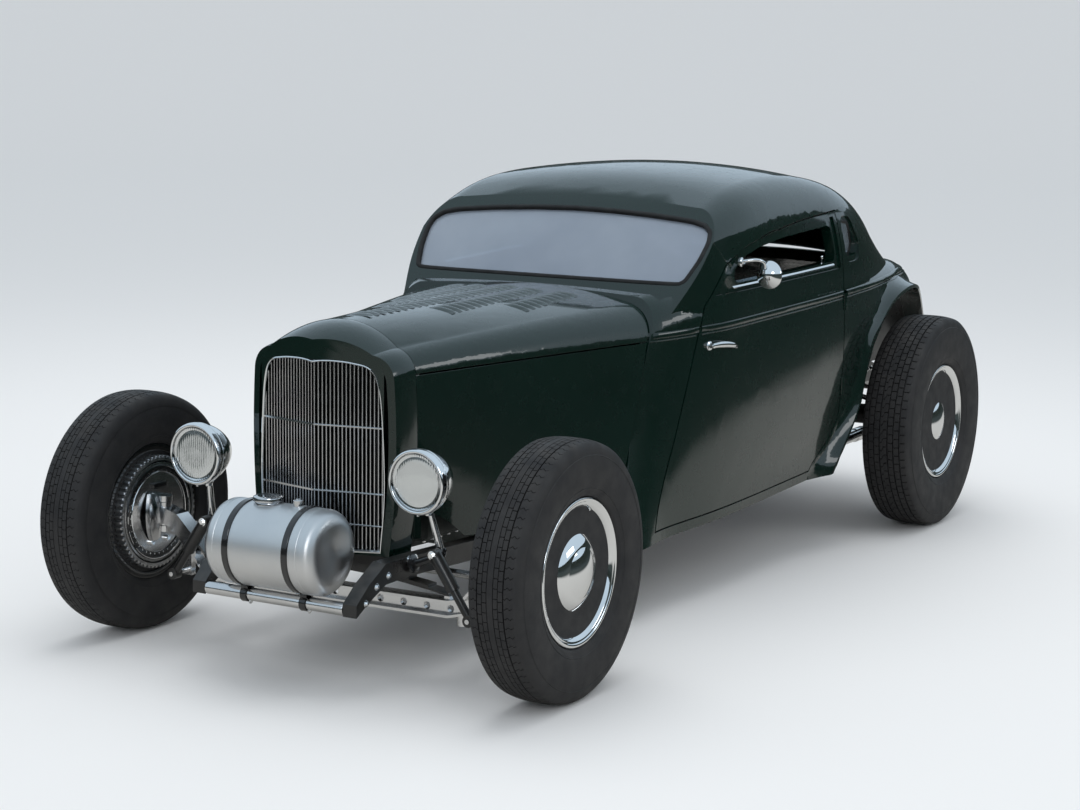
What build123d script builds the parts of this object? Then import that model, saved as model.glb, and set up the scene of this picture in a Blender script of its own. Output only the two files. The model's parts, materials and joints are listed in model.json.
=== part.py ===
from build123d import *
import os
from math import cos, radians, sin, sqrt, tan

# A fenderless, chopped and channelled five-window coupe from the early thirties.
# It is drawn with the front axle at y = 0, the nose toward -y, the driver's side (left) at +x and the
# ground at z = 0. Millimetres throughout. The export moves it so that y = 0 is the middle of its length.

# Wheels, axles and steering
wheelbase = 2845.0
frontTyreRadius = 366.0
frontTyreWidth = 167.0
frontTyreX = 747.0
rearTyreRadius = 400.0
rearTyreWidth = 193.0
rearTyreX = 712.0
frontRimRadius = 203.0
rearRimRadius = 211.0
frontRingX = 815.0
rearRingX = 792.0
capRadius = 126.0
kingpinX = 640.0
kingpinRadius = 10.0
axleBossHalf = 35.0
axleDropZ = 212.0
axleDepth = 50.0
axleWidth = 54.0
steerArmLength = 150.0
steerArmZ = 302.0
tieRodZ = 272.0
tieRodRadius = 12.0
tiePinRadius = 8.0
spindleRadius = 17.0
hubWall = 16.0
frontDrumRadius = 150.0
finBandRadius = 174.0
finBandX = 664.0
finBandEndX = 712.0
drumWall = 16.0
rearDrumRadius = 150.0

# Frame and running gear
railWidth = 46.0
floorZ = 342.0
floorThickness = 12.0
trunkFloorZ = 600.0
trunkFloorY = 2335.0
tunnelHalf = 110.0
tunnelTopZ = 520.0
matThickness = 4.0
crossY = 1460.0
crossZ = 266.2
crossRadius = 11.4
gearboxZ = 342.0
engineHalf = 235.0
springY = 2955.0
exhaustX = 250.0
exhaustRadius = 25.0
exhaustZ = 229.5
tipRadius = 28.0
tipLength = 90.0
rimShare = 0.72
lipThickness = 5.0
spreaderY = -291.0
spreaderZ = 246.0
spreaderRadius = 19.0
tankRadius = 122.0
tankHalf = 200.0
tankY = -272.0
tankZ = 391.0
strapWidth = 22.0
strapThickness = 4.0
lampX = 386.0
lampY = -165.0
lampZ = 597.0
lampRadius = 93.0
lampDepth = 150.0

# Body
beltAtAxle = 845.0
beltSlope = 0.04
sillAtAxle = 201.6
sillStrip = 36.0
doorGap = 5.0
doorWall = 42.0
hoodWall = 8.0
panelGap = 4.0
hoodRake = 20.0
hoodTopY = 1068.0
hoodTopZ = 1022.0
shellRearY = 35.0
shellWall = 22.0
grilleNoseY = -116.0
grilleSideY = -66.0
grilleSideX = 232.0
barPitch = 12.0
barWidth = 5.0
barsASide = 17
crossBarHeights = (430.0, 523.0, 712.0)
screenFootY = 1183.0
screenFootZ = 1038.0
screenHeadY = 1375.0
screenHeadZ = 1254.0
glassThickness = 6.0
archRadius = 500.0
archWall = 6.0
tubX = 470.0
floorFrontY = 867.5
hingeX = 641.0
hingeY = 2209.0
hingeBarrel = 9.0
hingePin = 4.0
hingeLength = 60.0
hingeHeights = (600.0, 905.0)
lidHingeY = 2951.0
lidHingeZ = 1010.0
lidHingeX = 330.0
lidReliefRadius = 15.0
flareLip = 13.0
screenWall = 16.0
revealDepth = 7.0
revealBand = 28.0
splitY = 2016.0
ledgeWall = 6.0

# Fits
runningFit = 0.05
seatFit = 0.3

# Half of the length from the tank's nose to the tail, measured from the front axle
midLength = 1553.0

parts = {}


def add(name, shape):
    parts[name] = shape


def mirrored(shape):
    return mirror(shape, about=Plane.YZ)


def both(shape):
    return shape + mirrored(shape)


def box(x0, x1, y0, y1, z0, z1):
    return Pos((x0 + x1) / 2, (y0 + y1) / 2, (z0 + z1) / 2) * Box(x1 - x0, y1 - y0, z1 - z0)


def rod(start, end, radius):
    a = Vector(*start)
    b = Vector(*end)
    return Plane(origin=a, z_dir=b - a) * Pos(0, 0, (b - a).length / 2) * Cylinder(radius, (b - a).length)


def turned(points, x=0.0, y=0.0, z=0.0):
    """A solid of revolution about a line along x. Points are (distance along x, radius)."""
    face = make_face(Polyline(*[(px, pr) for px, pr in points], close=True))
    return Pos(x, y, z) * Rot(90, 0, 0) * revolve(face, axis=Axis.X)


def outline(points, radius=0.0):
    """A face from its corner points, with rounded corners where a radius is given."""
    face = make_face(Polyline(*points, close=True))
    return fillet(face.vertices(), radius) if radius else face


def sidePrism(points, gap, x0, x1, radius=0.0):
    """A prism across the car from a (y, z) outline grown by a gap."""
    flat = outline(points, radius)
    grown = offset(flat, amount=gap, kind=Kind.INTERSECTION) if gap else flat
    placed = Plane(origin=(x0, 0, 0), x_dir=(0, 1, 0), z_dir=(1, 0, 0)) * grown
    return extrude(placed, amount=x1 - x0, dir=(1, 0, 0))


def beltZ(y):
    return beltAtAxle + beltSlope * y


def sillZ(y):
    return sillAtAxle + beltSlope * y


def rib(row, inset=0.0, openBelow=0.0):
    """One closed cross-section: floor line, side arc, shoulder arc, crown arc and their mirror images."""
    y, z0, x0, xm, zm, x1, z1, x2, z2, top = row
    t = inset
    foot = Vector(x0 - t, y, z0 + t - openBelow)
    flank = Vector(xm - t, y, zm)
    belt = Vector(x1 - t, y, z1 - t * 0.3)
    head = Vector(x2 - t * 0.6, y, z2 - t)
    crown = Vector(0, y, top - t)
    chord = head - belt
    shoulder = (belt + head) * 0.5 + Vector(chord.Z, 0, -chord.X) * 0.17

    def flip(v):
        return Vector(-v.X, v.Y, v.Z)

    edges = [
        Edge.make_line(flip(foot), foot),
        Edge.make_three_point_arc(foot, flank, belt),
        Edge.make_three_point_arc(belt, shoulder, head),
        Edge.make_three_point_arc(head, crown, flip(head)),
        Edge.make_three_point_arc(flip(head), flip(shoulder), flip(belt)),
        Edge.make_three_point_arc(flip(belt), flip(flank), flip(foot)),
    ]
    return Face(Wire(edges))


def hull(rows, inset=0.0, openBelow=0.0):
    return loft([rib(row, inset, openBelow) for row in rows])


# Sections. Columns: y, floor z, floor x, flank x, flank z, belt x, belt z, shoulder x, shoulder z, crown z
shellRows = [
    (-120, 352, 218, 236, 620, 228, 850, 170, 912, 955),
    (-60, 348, 230, 250, 620, 244, 858, 182, 925, 988),
    (35, 345, 236, 256, 620, 250, 862, 188, 932, 1003),
]
noseRows = [
    (35, 372, 238, 256, 620, 250, 862, 188, 932, 1003),
    (520, 345, 392, 378, 610, 358, 868, 280, 962, 1012),
    (1110, 246, 556, 538, 580, 500, 876, 385, 990, 1024),
]
tubRows = [
    (700, 230, 496, 468, 560, 405, 872, 300, 965, 1012),
    (1015, 242, 545, 520, 580, 478, 886, 368, 986, 1019),
    (1180, 249, 562, 562, 596, 545, 893, 478, 1014, 1036),
    (1256, 252, 572, 575, 600, 563, 895, 505, 1012, 1046),
    (1600, 266, 592, 614, 610, 606, 909, 570, 985, 1000),
    (2204, 290, 604, 642, 640, 640, 933, 600, 985, 1000),
    (2620, 306, 600, 634, 650, 622, 949, 560, 990, 1010),
    (2900, 318, 582, 606, 650, 578, 950, 480, 1000, 1022),
    (3150, 330, 545, 560, 640, 520, 900, 410, 945, 968),
    (3340, 350, 480, 492, 600, 450, 790, 350, 838, 858),
    (3450, 385, 400, 412, 540, 375, 660, 290, 705, 722),
    (3500, 430, 300, 312, 500, 285, 560, 210, 588, 598),
]
cabRows = [
    (1100, 815, 504, 506, 900, 515, 1080, 380, 1120, 1130),
    (1256, 820, 561, 563, 905, 552, 1155, 430, 1222, 1232),
    (1400, 830, 590, 592, 915, 572, 1185, 450, 1275, 1290),
    (1520, 835, 600, 602, 920, 585, 1196, 455, 1316, 1342),
    (1750, 840, 616, 618, 925, 592, 1206, 455, 1350, 1383),
    (2050, 850, 630, 632, 935, 594, 1213, 455, 1352, 1389),
    (2330, 860, 634, 636, 945, 588, 1212, 440, 1316, 1354),
    (2560, 870, 614, 616, 955, 562, 1150, 415, 1238, 1276),
    (2720, 880, 584, 586, 965, 530, 1080, 390, 1150, 1184),
    (2860, 890, 545, 552, 970, 490, 1010, 360, 1058, 1080),
]

# Body openings in side view, as (y, z) points
doorSide = [
    (1250, 968), (1222, 892), (1090, 560), (1010, 380), (968, sillZ(968) + sillStrip),
    (2010, sillZ(2010) + sillStrip), (2036, 348), (2140, 412), (2190, 470), (2204, 510), (2204, 1224),
    (1920, 1206), (1640, 1176), (1475, 1138), (1362, 1092),
]
windowSide = [(1372, 1028), (1455, 1106), (1580, 1136), (1760, 1158), (2152, 1178), (2158, 1052)]
quarterSide = [(2258, 1060), (2252, 1186), (2324, 1180), (2362, 1106), (2350, 1062)]
archToe = [(2845, 400), (2362, 527), (2302, 455), (2189, 344), (2130, 200), (2845, 200)]
roofLine = [(1290, 1180), (1368, 1096), (1475, 1140), (1640, 1178), (1920, 1208), (2204, 1226), (2300, 1236),
            (2480, 1195), (2960, 1040), (2960, 1500), (1290, 1500)]


# Flared edge of the rear wheel opening. Columns: y and z on the edge, y and z parts of the way out from it,
# half width of the lip, half width where the flare meets the body, reach
flareRows = [
    (2120, 180, -0.99, 0.14, 640, 585, 105),
    (2189, 344, -0.97, 0.24, 652, 612, 104),
    (2245, 400, -0.80, 0.60, 656, 624, 76),
    (2302, 455, -0.82, 0.57, 657, 631, 98),
    (2362, 527, -0.90, 0.44, 658, 636, 116),
    (2412, 650, -0.866, 0.50, 659, 640, 112),
    (2524, 783, -0.643, 0.766, 659, 634, 98),
    (2674, 870, -0.342, 0.940, 658, 618, 78),
    (2845, 900, 0, 1, 652, 582, 58),
    (3016, 870, 0.342, 0.940, 614, 552, 52),
    (3166, 783, 0.643, 0.766, 572, 512, 56),
    (3278, 650, 0.866, 0.50, 536, 494, 52),
    (3338, 487, 0.985, 0.174, 512, 480, 44),
]

# The windscreen lies in one flat plane through its foot and its head.
screenRun = sqrt((screenHeadY - screenFootY) ** 2 + (screenHeadZ - screenFootZ) ** 2)
screenUp = Vector(0, screenHeadY - screenFootY, screenHeadZ - screenFootZ) / screenRun
screenOut = Vector(0, -screenUp.Z, screenUp.Y)
screenPlane = Plane(origin=(0, screenFootY, screenFootZ), x_dir=(1, 0, 0), z_dir=screenOut)


def screenPrism(grow, front, back):
    """The windscreen opening as a prism through its plane."""
    g = grow
    half = [(490 + g, -g), (512 + g, 16), (534 + g, 100), (541 + g, 172), (534 + g, 214), (505 + g, 243 + g),
            (450 + g, 259 + g), (300, 275 + g), (150, 285 + g)]
    points = [(-x, y) for x, y in half] + [(0, screenRun + g)] + half[::-1]
    face = screenPlane * outline(points)
    lower = Pos(*(screenOut * -back)) * face
    return extrude(lower, amount=front + back, dir=screenOut)


def backGlass(grow, low, high):
    """The rear window as a prism through the sloping back of the roof."""
    plane = Plane(origin=(0, 2655, 1236), x_dir=(1, 0, 0), z_dir=(0, 0.5, 0.866))
    face = make_face(Polyline((-190 - grow, -58 - grow), (190 + grow, -58 - grow),
                              (205 + grow, 0), (175 + grow, 58 + grow), (-175 - grow, 58 + grow),
                              (-205 - grow, 0), close=True))
    return extrude(Pos(*(plane.z_dir * low)) * (plane * face), amount=high - low, dir=plane.z_dir)


def lidPrism(grow):
    """The boot lid's outline as a prism square to its slope."""
    plane = Plane(origin=(0, 3250, 950), x_dir=(1, 0, 0), z_dir=(0, 0.7071, 0.7071))
    half = [(365, -244), (385, -226), (345, 20), (300, 250), (246, 370), (220, 394)]
    points = half + [(-x, y) for x, y in half[::-1]]
    face = plane * offset(make_face(Polyline(*points, close=True)), amount=grow, kind=Kind.INTERSECTION)
    return extrude(Pos(*(plane.z_dir * -260)) * face, amount=560, dir=plane.z_dir)


def raked(y, back):
    """Everything ahead of (or behind) the raked joint between hood and cowl, shifted by y."""
    lean = tan(radians(hoodRake))
    foot = hoodTopY + y - (hoodTopZ - 100) * lean
    head = hoodTopY + y + (1500 - hoodTopZ) * lean
    far = 4000 if back else -600
    return sidePrism([(foot, 100), (head, 1500), (far, 1500), (far, 100)], 0, -900, 900)


def archSolid(shrink, x0, x1):
    """The rear wheel opening: a round arch with a toe that runs forward and down to the sill."""
    disc = Pos((x0 + x1) / 2, wheelbase, rearTyreRadius) * Rot(0, 90, 0) * Cylinder(archRadius - shrink, x1 - x0)
    return disc + sidePrism(archToe, -shrink, x0, x1)


def flare(grow=0.0):
    """The body side swept out to the rolled lip of the rear wheel opening, as one loft along the opening."""
    sections = []
    for y, z, outY, outZ, lipX, endX, reach in flareRows:
        def point(x, way):
            return Vector(x, y + outY * way, z + outZ * way)

        low, high = point(lipX - 70, -12), point(lipX, -12)
        crest, end = point(lipX, flareLip), point(endX - 5, reach)
        dip = point(lipX * 0.42 + endX * 0.58 - 3, flareLip + (reach - flareLip) * 0.42)
        back = point(lipX - 70, reach)
        sections.append(Face(Wire([
            Edge.make_line(low, high), Edge.make_line(high, crest), Edge.make_three_point_arc(crest, dip, end),
            Edge.make_line(end, back), Edge.make_line(back, low)])))
    return loft(sections)


def hoodLedge(y0, y1):
    """A thin lip that runs just inside the hood's skin and carries its edge."""
    inside = hoodWall + seatFit
    return (hull(noseRows, inside, 500) - hull(noseRows, inside + ledgeWall, 500)) & box(-900, 900, y0, y1, 385, 1200)


def buildBody():
    tub = hull(tubRows)
    cab = hull(cabRows)
    tubIn = hull(tubRows, doorWall, 400)
    cabIn = hull(cabRows, doorWall, doorWall)
    aboveScreen = screenPlane * Pos(0, 300, 300) * Box(1600, 1200, 600)
    header = screenPlane * Pos(0, 300, -screenWall / 2) * Box(1600, 1200, screenWall)
    skin = (tub + (cab - aboveScreen)) - tubIn - (cabIn - header)
    skin = skin & raked(panelGap, True)
    doorCut = sidePrism(doorSide, doorGap, 500, 800)
    doorBody = sidePrism(doorSide, 0, 500, 800)
    windowCut = sidePrism(windowSide, 0, 400, 800, 26)
    quarterCut = sidePrism(quarterSide, 0, 400, 800, 22)
    recess = hull(cabRows, revealDepth)
    door = (skin & doorBody) - windowCut - (sidePrism(windowSide, revealBand, 450, 800) - recess)
    rest = skin - doorCut - mirrored(doorCut) - screenPrism(0, 200, 120)
    rest = rest - quarterCut - mirrored(quarterCut) - backGlass(0, -80, 60)
    arch = archSolid(0, 300, 1000)
    sill = sidePrism([(1900, sillZ(1900)), (3600, sillZ(3600)), (3600, 0), (1900, 0)], 0, 300, 900)
    lip = (flare() - tubIn - arch - sill - doorCut) & box(300, 900, splitY, 3500, 200, 1100)
    quarterReveal = sidePrism(quarterSide, revealBand - 8, 450, 800, 16) - recess
    rest = rest - arch - mirrored(arch) - quarterReveal - mirrored(quarterReveal)
    lid = rest & lidPrism(0)
    rest = rest - lidPrism(doorGap)
    roofCut = sidePrism(roofLine, 0, -900, 900)
    roof = rest & roofCut
    lower = rest - roofCut
    cowl = (lower & box(-900, 900, 0, splitY, 0, 1500))
    ledge = hoodLedge(900, 1400) & raked(-22, True)
    cowl = cowl + (ledge & raked(panelGap + 12, False))
    tail = lower - box(-900, 900, 0, splitY, 0, 1500)
    right = (tail & box(-900, 0, 0, 4000, 0, 2000)) + mirrored(lip)
    return door, roof, cowl, right, lid


def barrel(centre, along, radius, length):
    return Plane(origin=centre, z_dir=along) * Cylinder(radius, length)


def hinge(centre, along, fixedLeaf, swingLeaf):
    """A butt hinge on its pin: the middle knuckle swings, the outer ones and the pin stay on the body.

    Each leaf is a (y, z) box beside the pin, given as y0, y1, z0, z1 for a pin along x, or x0, x1, y0, y1 for one
    along z. It returns the swinging piece, the fixed piece, and the pockets that each needs in the other's panel."""
    third = hingeLength / 3
    c = Vector(*centre)
    a = Vector(*along)

    def leaf(extent, middle):
        lo, hi = middle - third / 2 + 0.5, middle + third / 2 - 0.5
        if a.Z > 0.5:
            return box(extent[0], extent[1], extent[2], extent[3], c.Z + lo, c.Z + hi)
        return box(c.X + lo, c.X + hi, extent[0], extent[1], extent[2], extent[3])

    swinging = (barrel(c, a, hingeBarrel, third - 1) + leaf(swingLeaf, 0)) - barrel(c, a, hingePin + runningFit, third + 4)
    fixed = barrel(c, a, hingePin, hingeLength)
    for side in (-third, third):
        fixed += barrel(c + a * side, a, hingeBarrel, third - 1) + leaf(fixedLeaf, side)
    return swinging, fixed, barrel(c, a, hingeBarrel + 3, hingeLength + 4), barrel(c, a, hingeBarrel + 3, third + 2)


def tyre(x, y, radius, width, rimRadius):
    """A hollow tyre standing on the ground at x, y, its beads between the rim's lips."""
    w = width / 2
    r = radius
    b = rimRadius
    bead = w * rimShare - lipThickness - seatFit
    half = [(bead, b - 12 + seatFit), (bead, b + 5), (w * 0.92, b + 26), (w, (r + b) / 2), (w * 0.93, r - 34),
            (w * 0.78, r - 10), (w * 0.55, r - 2), (0, r)]
    hollow = [(bead - 11, b - 12 + seatFit), (w * 0.78, b + 32), (w * 0.84, (r + b) / 2), (w * 0.72, r - 28), (0, r - 16)]
    outside = [(-px, pr) for px, pr in half] + half[-2::-1]
    inside = hollow + [(-px, pr) for px, pr in hollow[-2::-1]]
    return turned(outside + inside, x, y, radius)


def rim(x, y, z, width, rimRadius, hubRadius, faceX):
    """A pressed steel wheel: drop-centre rim, dished disc and a hub with its bore."""
    w = width / 2 * rimShare
    b = rimRadius
    t = lipThickness
    profile = [(-w, b + 4), (-w, b - 18), (-w * 0.52, b - 18), (-w * 0.42, b - 38), (w * 0.3, b - 38), (w * 0.42, b - 18),
               (w, b - 18), (w, b + 4), (w - t, b + 4), (w - t, b - 12), (w * 0.5, b - 12), (w * 0.38, b - 32),
               (-w * 0.48, b - 32), (-w * 0.6, b - 12), (-w + t, b - 12), (-w + t, b + 4)]
    barrelShape = turned(profile, x, y, z)
    f = faceX
    disc = [(f - 4, hubRadius), (f - 4, 74), (f + 12, 98), (f + 12, 132), (f - 6, b - 37), (f - 12, b - 37),
            (f + 5, 129), (f + 5, 102), (f - 12, 78), (f - 12, hubRadius)]
    hub = [(f - 60, hubRadius), (f - 60, hubRadius + hubWall), (f - 8, hubRadius + hubWall + 12), (f - 8, hubRadius)]
    return barrelShape + turned(disc, 0, y, z) + turned(hub, 0, y, z)


def brightwork(y, z, rimRadius, lipFace, discX):
    """A trim ring over the rim's lip and a domed cap on the disc."""
    b = rimRadius
    e = lipFace + seatFit
    ring = turned([(e, b + 3), (e + 4, b + 5), (e + 8, b + 2), (e + 6, b - 9), (e, b - 20), (e - 16, b - 34), (e - 19, b - 31),
                   (e - 5, b - 18.7), (e, b - 18.5)], 0, y, z)
    c = capRadius
    d = discX + 12 + seatFit
    cap = turned([(d, c), (d + 8, c), (d + 26, c * 0.87), (d + 42, c * 0.62), (d + 51, c * 0.32), (d + 53, 0), (d + 49, 0),
                  (d + 47, c * 0.3), (d + 38, c * 0.6), (d + 22, c * 0.84), (d + 6, c - 5), (d, c - 5)], 0, y, z)
    return ring + cap


def drum(x0, x1, y, z, radius, bore, band=()):
    """A brake drum with cooling fins round its edge, and a wider finned band ahead of x0 where one is given."""
    fins = []
    steps = 6
    pitch = (x1 - x0) / steps
    for i in range(steps):
        fins += [(x0 + i * pitch, radius), (x0 + (i + 0.5) * pitch, radius),
                 (x0 + (i + 0.5) * pitch, radius - 6), (x0 + (i + 1) * pitch, radius - 6)]
    inner = [(x1, bore), (x1 - 14, bore), (x1 - 14, radius - drumWall)]
    if band:
        bandX, bandRadius = band
        inner += [(x0 - 6, radius - drumWall), (x0 - 6, bandRadius - drumWall), (bandX, bandRadius - drumWall),
                  (bandX, bandRadius), (x0, bandRadius)]
    else:
        inner += [(x0, radius - drumWall)]
    return turned(fins + inner, 0, y, z)


def bandOutline(points, half):
    """The outline of a strip of constant width about a line of (x, z) points."""
    upper = []
    lower = []
    for i, (px, pz) in enumerate(points):
        ax, az = points[max(i - 1, 0)]
        bx, bz = points[min(i + 1, len(points) - 1)]
        length = sqrt((bx - ax) ** 2 + (bz - az) ** 2)
        nx, nz = -(bz - az) / length, (bx - ax) / length
        upper.append((px + nx * half, pz + nz * half))
        lower.append((px - nx * half, pz - nz * half))
    return upper + lower[::-1]


def frontPrism(points, y0, y1):
    """A prism along the car from a front-view outline of (x, z) points."""
    face = Plane(origin=(0, y0, 0), x_dir=(1, 0, 0), z_dir=(0, -1, 0)) * make_face(Polyline(*points, close=True))
    return extrude(face, amount=y1 - y0, dir=(0, 1, 0))


def buildFrame():
    # Columns: y, rail centre x, rail centre z, rail height
    stations = [(-305, 262, 246, 36), (-250, 264, 285, 50), (-170, 268, 328, 60), (-60, 276, 330, 56), (300, 300, 322, 58),
                (850, 374, 291.7, 100), (1100, 405, 291.7, 100), (2335, 425, 291.7, 100), (2560, 425, 440, 96),
                (2690, 420, 540, 84), (2960, 415, 554, 84), (3180, 405, 490, 76), (3380, 395, 440, 70)]
    faces = []
    for y, x, z, h in stations:
        w = railWidth / 2
        faces.append(Face(Wire.make_polygon([(x - w, y, z - h / 2), (x + w, y, z - h / 2), (x + w, y, z + h / 2),
                                             (x - w, y, z + h / 2)], close=True)))
    rail = loft(faces, ruled=True)
    frame = both(rail)
    frame += box(-275, 275, -40, 40, 310.3, 344.3)
    frame += rod((-410, crossY, crossZ), (410, crossY, crossZ), crossRadius)
    frame += box(-40, 40, crossY - 25, crossY + 10, crossZ, gearboxZ - 63.8)
    frame += both(box(engineHalf + seatFit, 320, 480, 560, 300, 345))
    frame += rod((-420, springY, 566), (420, springY, 566), 26) + rod((-395, 3360, 440), (395, 3360, 440), 22)
    frame += box(-45, 45, springY - 25, springY + 25, 535 + seatFit, 566)
    frame += both(box(395, 410 - seatFit, 880, 920, 226, 262)) + both(box(425, 444.7, 1680, 1720, 286, 314))
    return frame


axleLine = [(-kingpinX, 366), (-585, 352), (-520, 290), (-460, 226), (-400, axleDropZ), (0, axleDropZ - 4)]
axleLine = axleLine + [(-x, z) for x, z in axleLine[-2::-1]]
shockTop = (404, -98, 384)
shockLow = (522, -98, 212)


def buildAxle():
    """The drilled dropped I-beam with its kingpin bosses, shock studs and spring shackles."""
    beam = frontPrism(bandOutline(axleLine, axleDepth / 2), -axleWidth / 2, axleWidth / 2)
    pocket = frontPrism(bandOutline(axleLine[2:-2], axleDepth / 2 - 8), 7, axleWidth)
    beam = beam - pocket - mirror(pocket, about=Plane.XZ)
    holes = [Pos(x, 0, axleDropZ - 2) * Rot(90, 0, 0) * Cylinder(11, 80) for x in range(-400, 401, 80)]
    beam = beam - holes
    centre = Pos(kingpinX, 0, frontTyreRadius)
    boss = centre * Cylinder(22, axleBossHalf * 2)
    bore = centre * Cylinder(kingpinRadius + runningFit, 200)
    clear = centre * Pos(0, 0, axleBossHalf + 15) * Cylinder(40, 30) + centre * Pos(0, 0, -axleBossHalf - 15) * Cylinder(40, 30)
    lug = box(506, 538, -40, -20, 196, 300)
    stud = rod((shockLow[0], -30, shockLow[2]), (shockLow[0], -117, shockLow[2]), 7)
    shackle = box(384, 402, -16, 16, 228, 246 + 1.5)
    return (beam + both(boss + lug + stud + shackle)) - both(clear) - both(bore)


def buildKnuckle():
    """The left knuckle: forked yoke, kingpin, spindle, steering arm and backing plate."""
    z = frontTyreRadius
    pin = Pos(kingpinX, 0, z) * Cylinder(kingpinRadius, 2 * axleBossHalf + 40)
    ears = Pos(kingpinX, 0, z + axleBossHalf + 11) * Cylinder(24, 18) + Pos(kingpinX, 0, z - axleBossHalf - 11) * Cylinder(24, 18)
    block = box(kingpinX + 28, kingpinX + 40, -26, 26, z - axleBossHalf - 20, z + axleBossHalf + 20)
    links = box(kingpinX, kingpinX + 40, -24, 24, z + axleBossHalf + 2, z + axleBossHalf + 20)
    links += box(kingpinX, kingpinX + 40, -24, 24, z - axleBossHalf - 20, z - axleBossHalf - 2)
    spindle = rod((kingpinX + 34, 0, z), (frontTyreX + 12, 0, z), spindleRadius)
    arm = rod((kingpinX + 30, 12, z - 46), (kingpinX, steerArmLength, steerArmZ), 11)
    eye = Pos(kingpinX, steerArmLength, steerArmZ) * Cylinder(18, 22)
    eyeBore = Pos(kingpinX, steerArmLength, steerArmZ) * Cylinder(tiePinRadius + runningFit, 60)
    plateRadius = finBandRadius - drumWall - 5
    plate = turned([(finBandX + 2, 0), (finBandX + 2, plateRadius), (finBandX + 8, plateRadius), (finBandX + 8, 0)], 0, 0, z)
    return pin + ears + block + links + spindle + plate + ((arm + eye) - eyeBore)


def buildWheels():
    z = frontTyreRadius
    tyreShape = tyre(frontTyreX, 0, frontTyreRadius, frontTyreWidth, frontRimRadius)
    face = frontTyreX + 22
    wheel = rim(frontTyreX, 0, z, frontTyreWidth, frontRimRadius, spindleRadius + runningFit, face)
    bright = brightwork(0, z, frontRimRadius, frontTyreX + frontTyreWidth / 2 * rimShare, face)
    band = (finBandX, finBandRadius)
    drumShape = drum(finBandEndX, face - 12 - seatFit, 0, z, frontDrumRadius, spindleRadius + hubWall + 13, band)
    front = {"tyre": tyreShape, "wheel": wheel, "brightwork": bright, "drum": drumShape}
    z = rearTyreRadius
    tyreShape = tyre(rearTyreX, wheelbase, rearTyreRadius, rearTyreWidth, rearRimRadius)
    face = rearTyreX + 14
    wheel = rim(rearTyreX, wheelbase, z, rearTyreWidth, rearRimRadius, spindleRadius + runningFit, face)
    bright = brightwork(wheelbase, z, rearRimRadius, rearTyreX + rearTyreWidth / 2 * rimShare, face)
    drumShape = drum(620, face - 12 - seatFit, wheelbase, z, rearDrumRadius, spindleRadius + hubWall + 13)
    rear = {"tyre": tyreShape, "wheel": wheel + drumShape, "brightwork": bright}
    for place, group in (("front", front), ("rear", rear)):
        for piece, shape in group.items():
            add(piece + "_" + place + "_left", shape)
            add(piece + "_" + place + "_right", mirrored(shape))


def buildRearAxle():
    """Axle tubes, differential, backing plates, spindles and the spring's perches."""
    z = rearTyreRadius
    tubes = rod((-600, wheelbase, z), (600, wheelbase, z), 38)
    centre = Pos(0, wheelbase, z) * Sphere(120)
    nose = Plane(origin=(0, wheelbase - 60, z), z_dir=(0, -1, 0)) * Pos(0, 0, 90) * Cone(90, 48, 180)
    plates = both(turned([(596, 0), (596, rearDrumRadius - 22), (604, rearDrumRadius - 22), (604, 0)], 0, wheelbase, z))
    stubs = both(rod((600, wheelbase, z), (rearTyreX + 6, wheelbase, z), spindleRadius))
    perch = both(box(455, 482, wheelbase + 10, springY + 20, 395, 429.7))
    return tubes + centre + nose + plates + stubs + perch


def leafSpring(y, halfSpan, eyeZ, rise, leaves, width, thickness):
    """A transverse leaf stack: arcs of one radius, each leaf above shorter than the one below."""
    radius = (halfSpan ** 2 + rise ** 2) / (2 * rise)
    stack = None
    for i in range(leaves):
        span = halfSpan * (1 - 0.17 * i)
        low = radius + i * thickness
        high = low + thickness
        centreZ = eyeZ + rise - radius
        reach = span / radius
        a = (-low * sin(reach), centreZ + low * cos(reach))
        b = (low * sin(reach), centreZ + low * cos(reach))
        c = (high * sin(reach), centreZ + high * cos(reach))
        d = (-high * sin(reach), centreZ + high * cos(reach))
        wire = Wire([
            Edge.make_three_point_arc((a[0], y, a[1]), (0, y, centreZ + low), (b[0], y, b[1])),
            Edge.make_line((b[0], y, b[1]), (c[0], y, c[1])),
            Edge.make_three_point_arc((c[0], y, c[1]), (0, y, centreZ + high), (d[0], y, d[1])),
            Edge.make_line((d[0], y, d[1]), (a[0], y, a[1])),
        ])
        leaf = extrude(Face(wire), amount=width / 2, dir=(0, 1, 0), both=True)
        stack = leaf if stack is None else stack + leaf
    return stack


def mouthPrism(shrink):
    """The opening in the grille shell, seen from the front."""
    half = [(204, 360), (216, 520), (212, 700), (200, 830), (174, 882), (120, 897)]
    points = half + [(0, 901)] + [(-x, z) for x, z in half[::-1]]
    face = offset(make_face(Polyline(*points, close=True)), amount=-shrink, kind=Kind.INTERSECTION) if shrink else \
        make_face(Polyline(*points, close=True))
    placed = Plane(origin=(0, -300, 0), x_dir=(1, 0, 0), z_dir=(0, -1, 0)) * face
    return extrude(placed, amount=320, dir=(0, 1, 0))


grilleSlope = (grilleSideY - grilleNoseY) / grilleSideX


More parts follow.
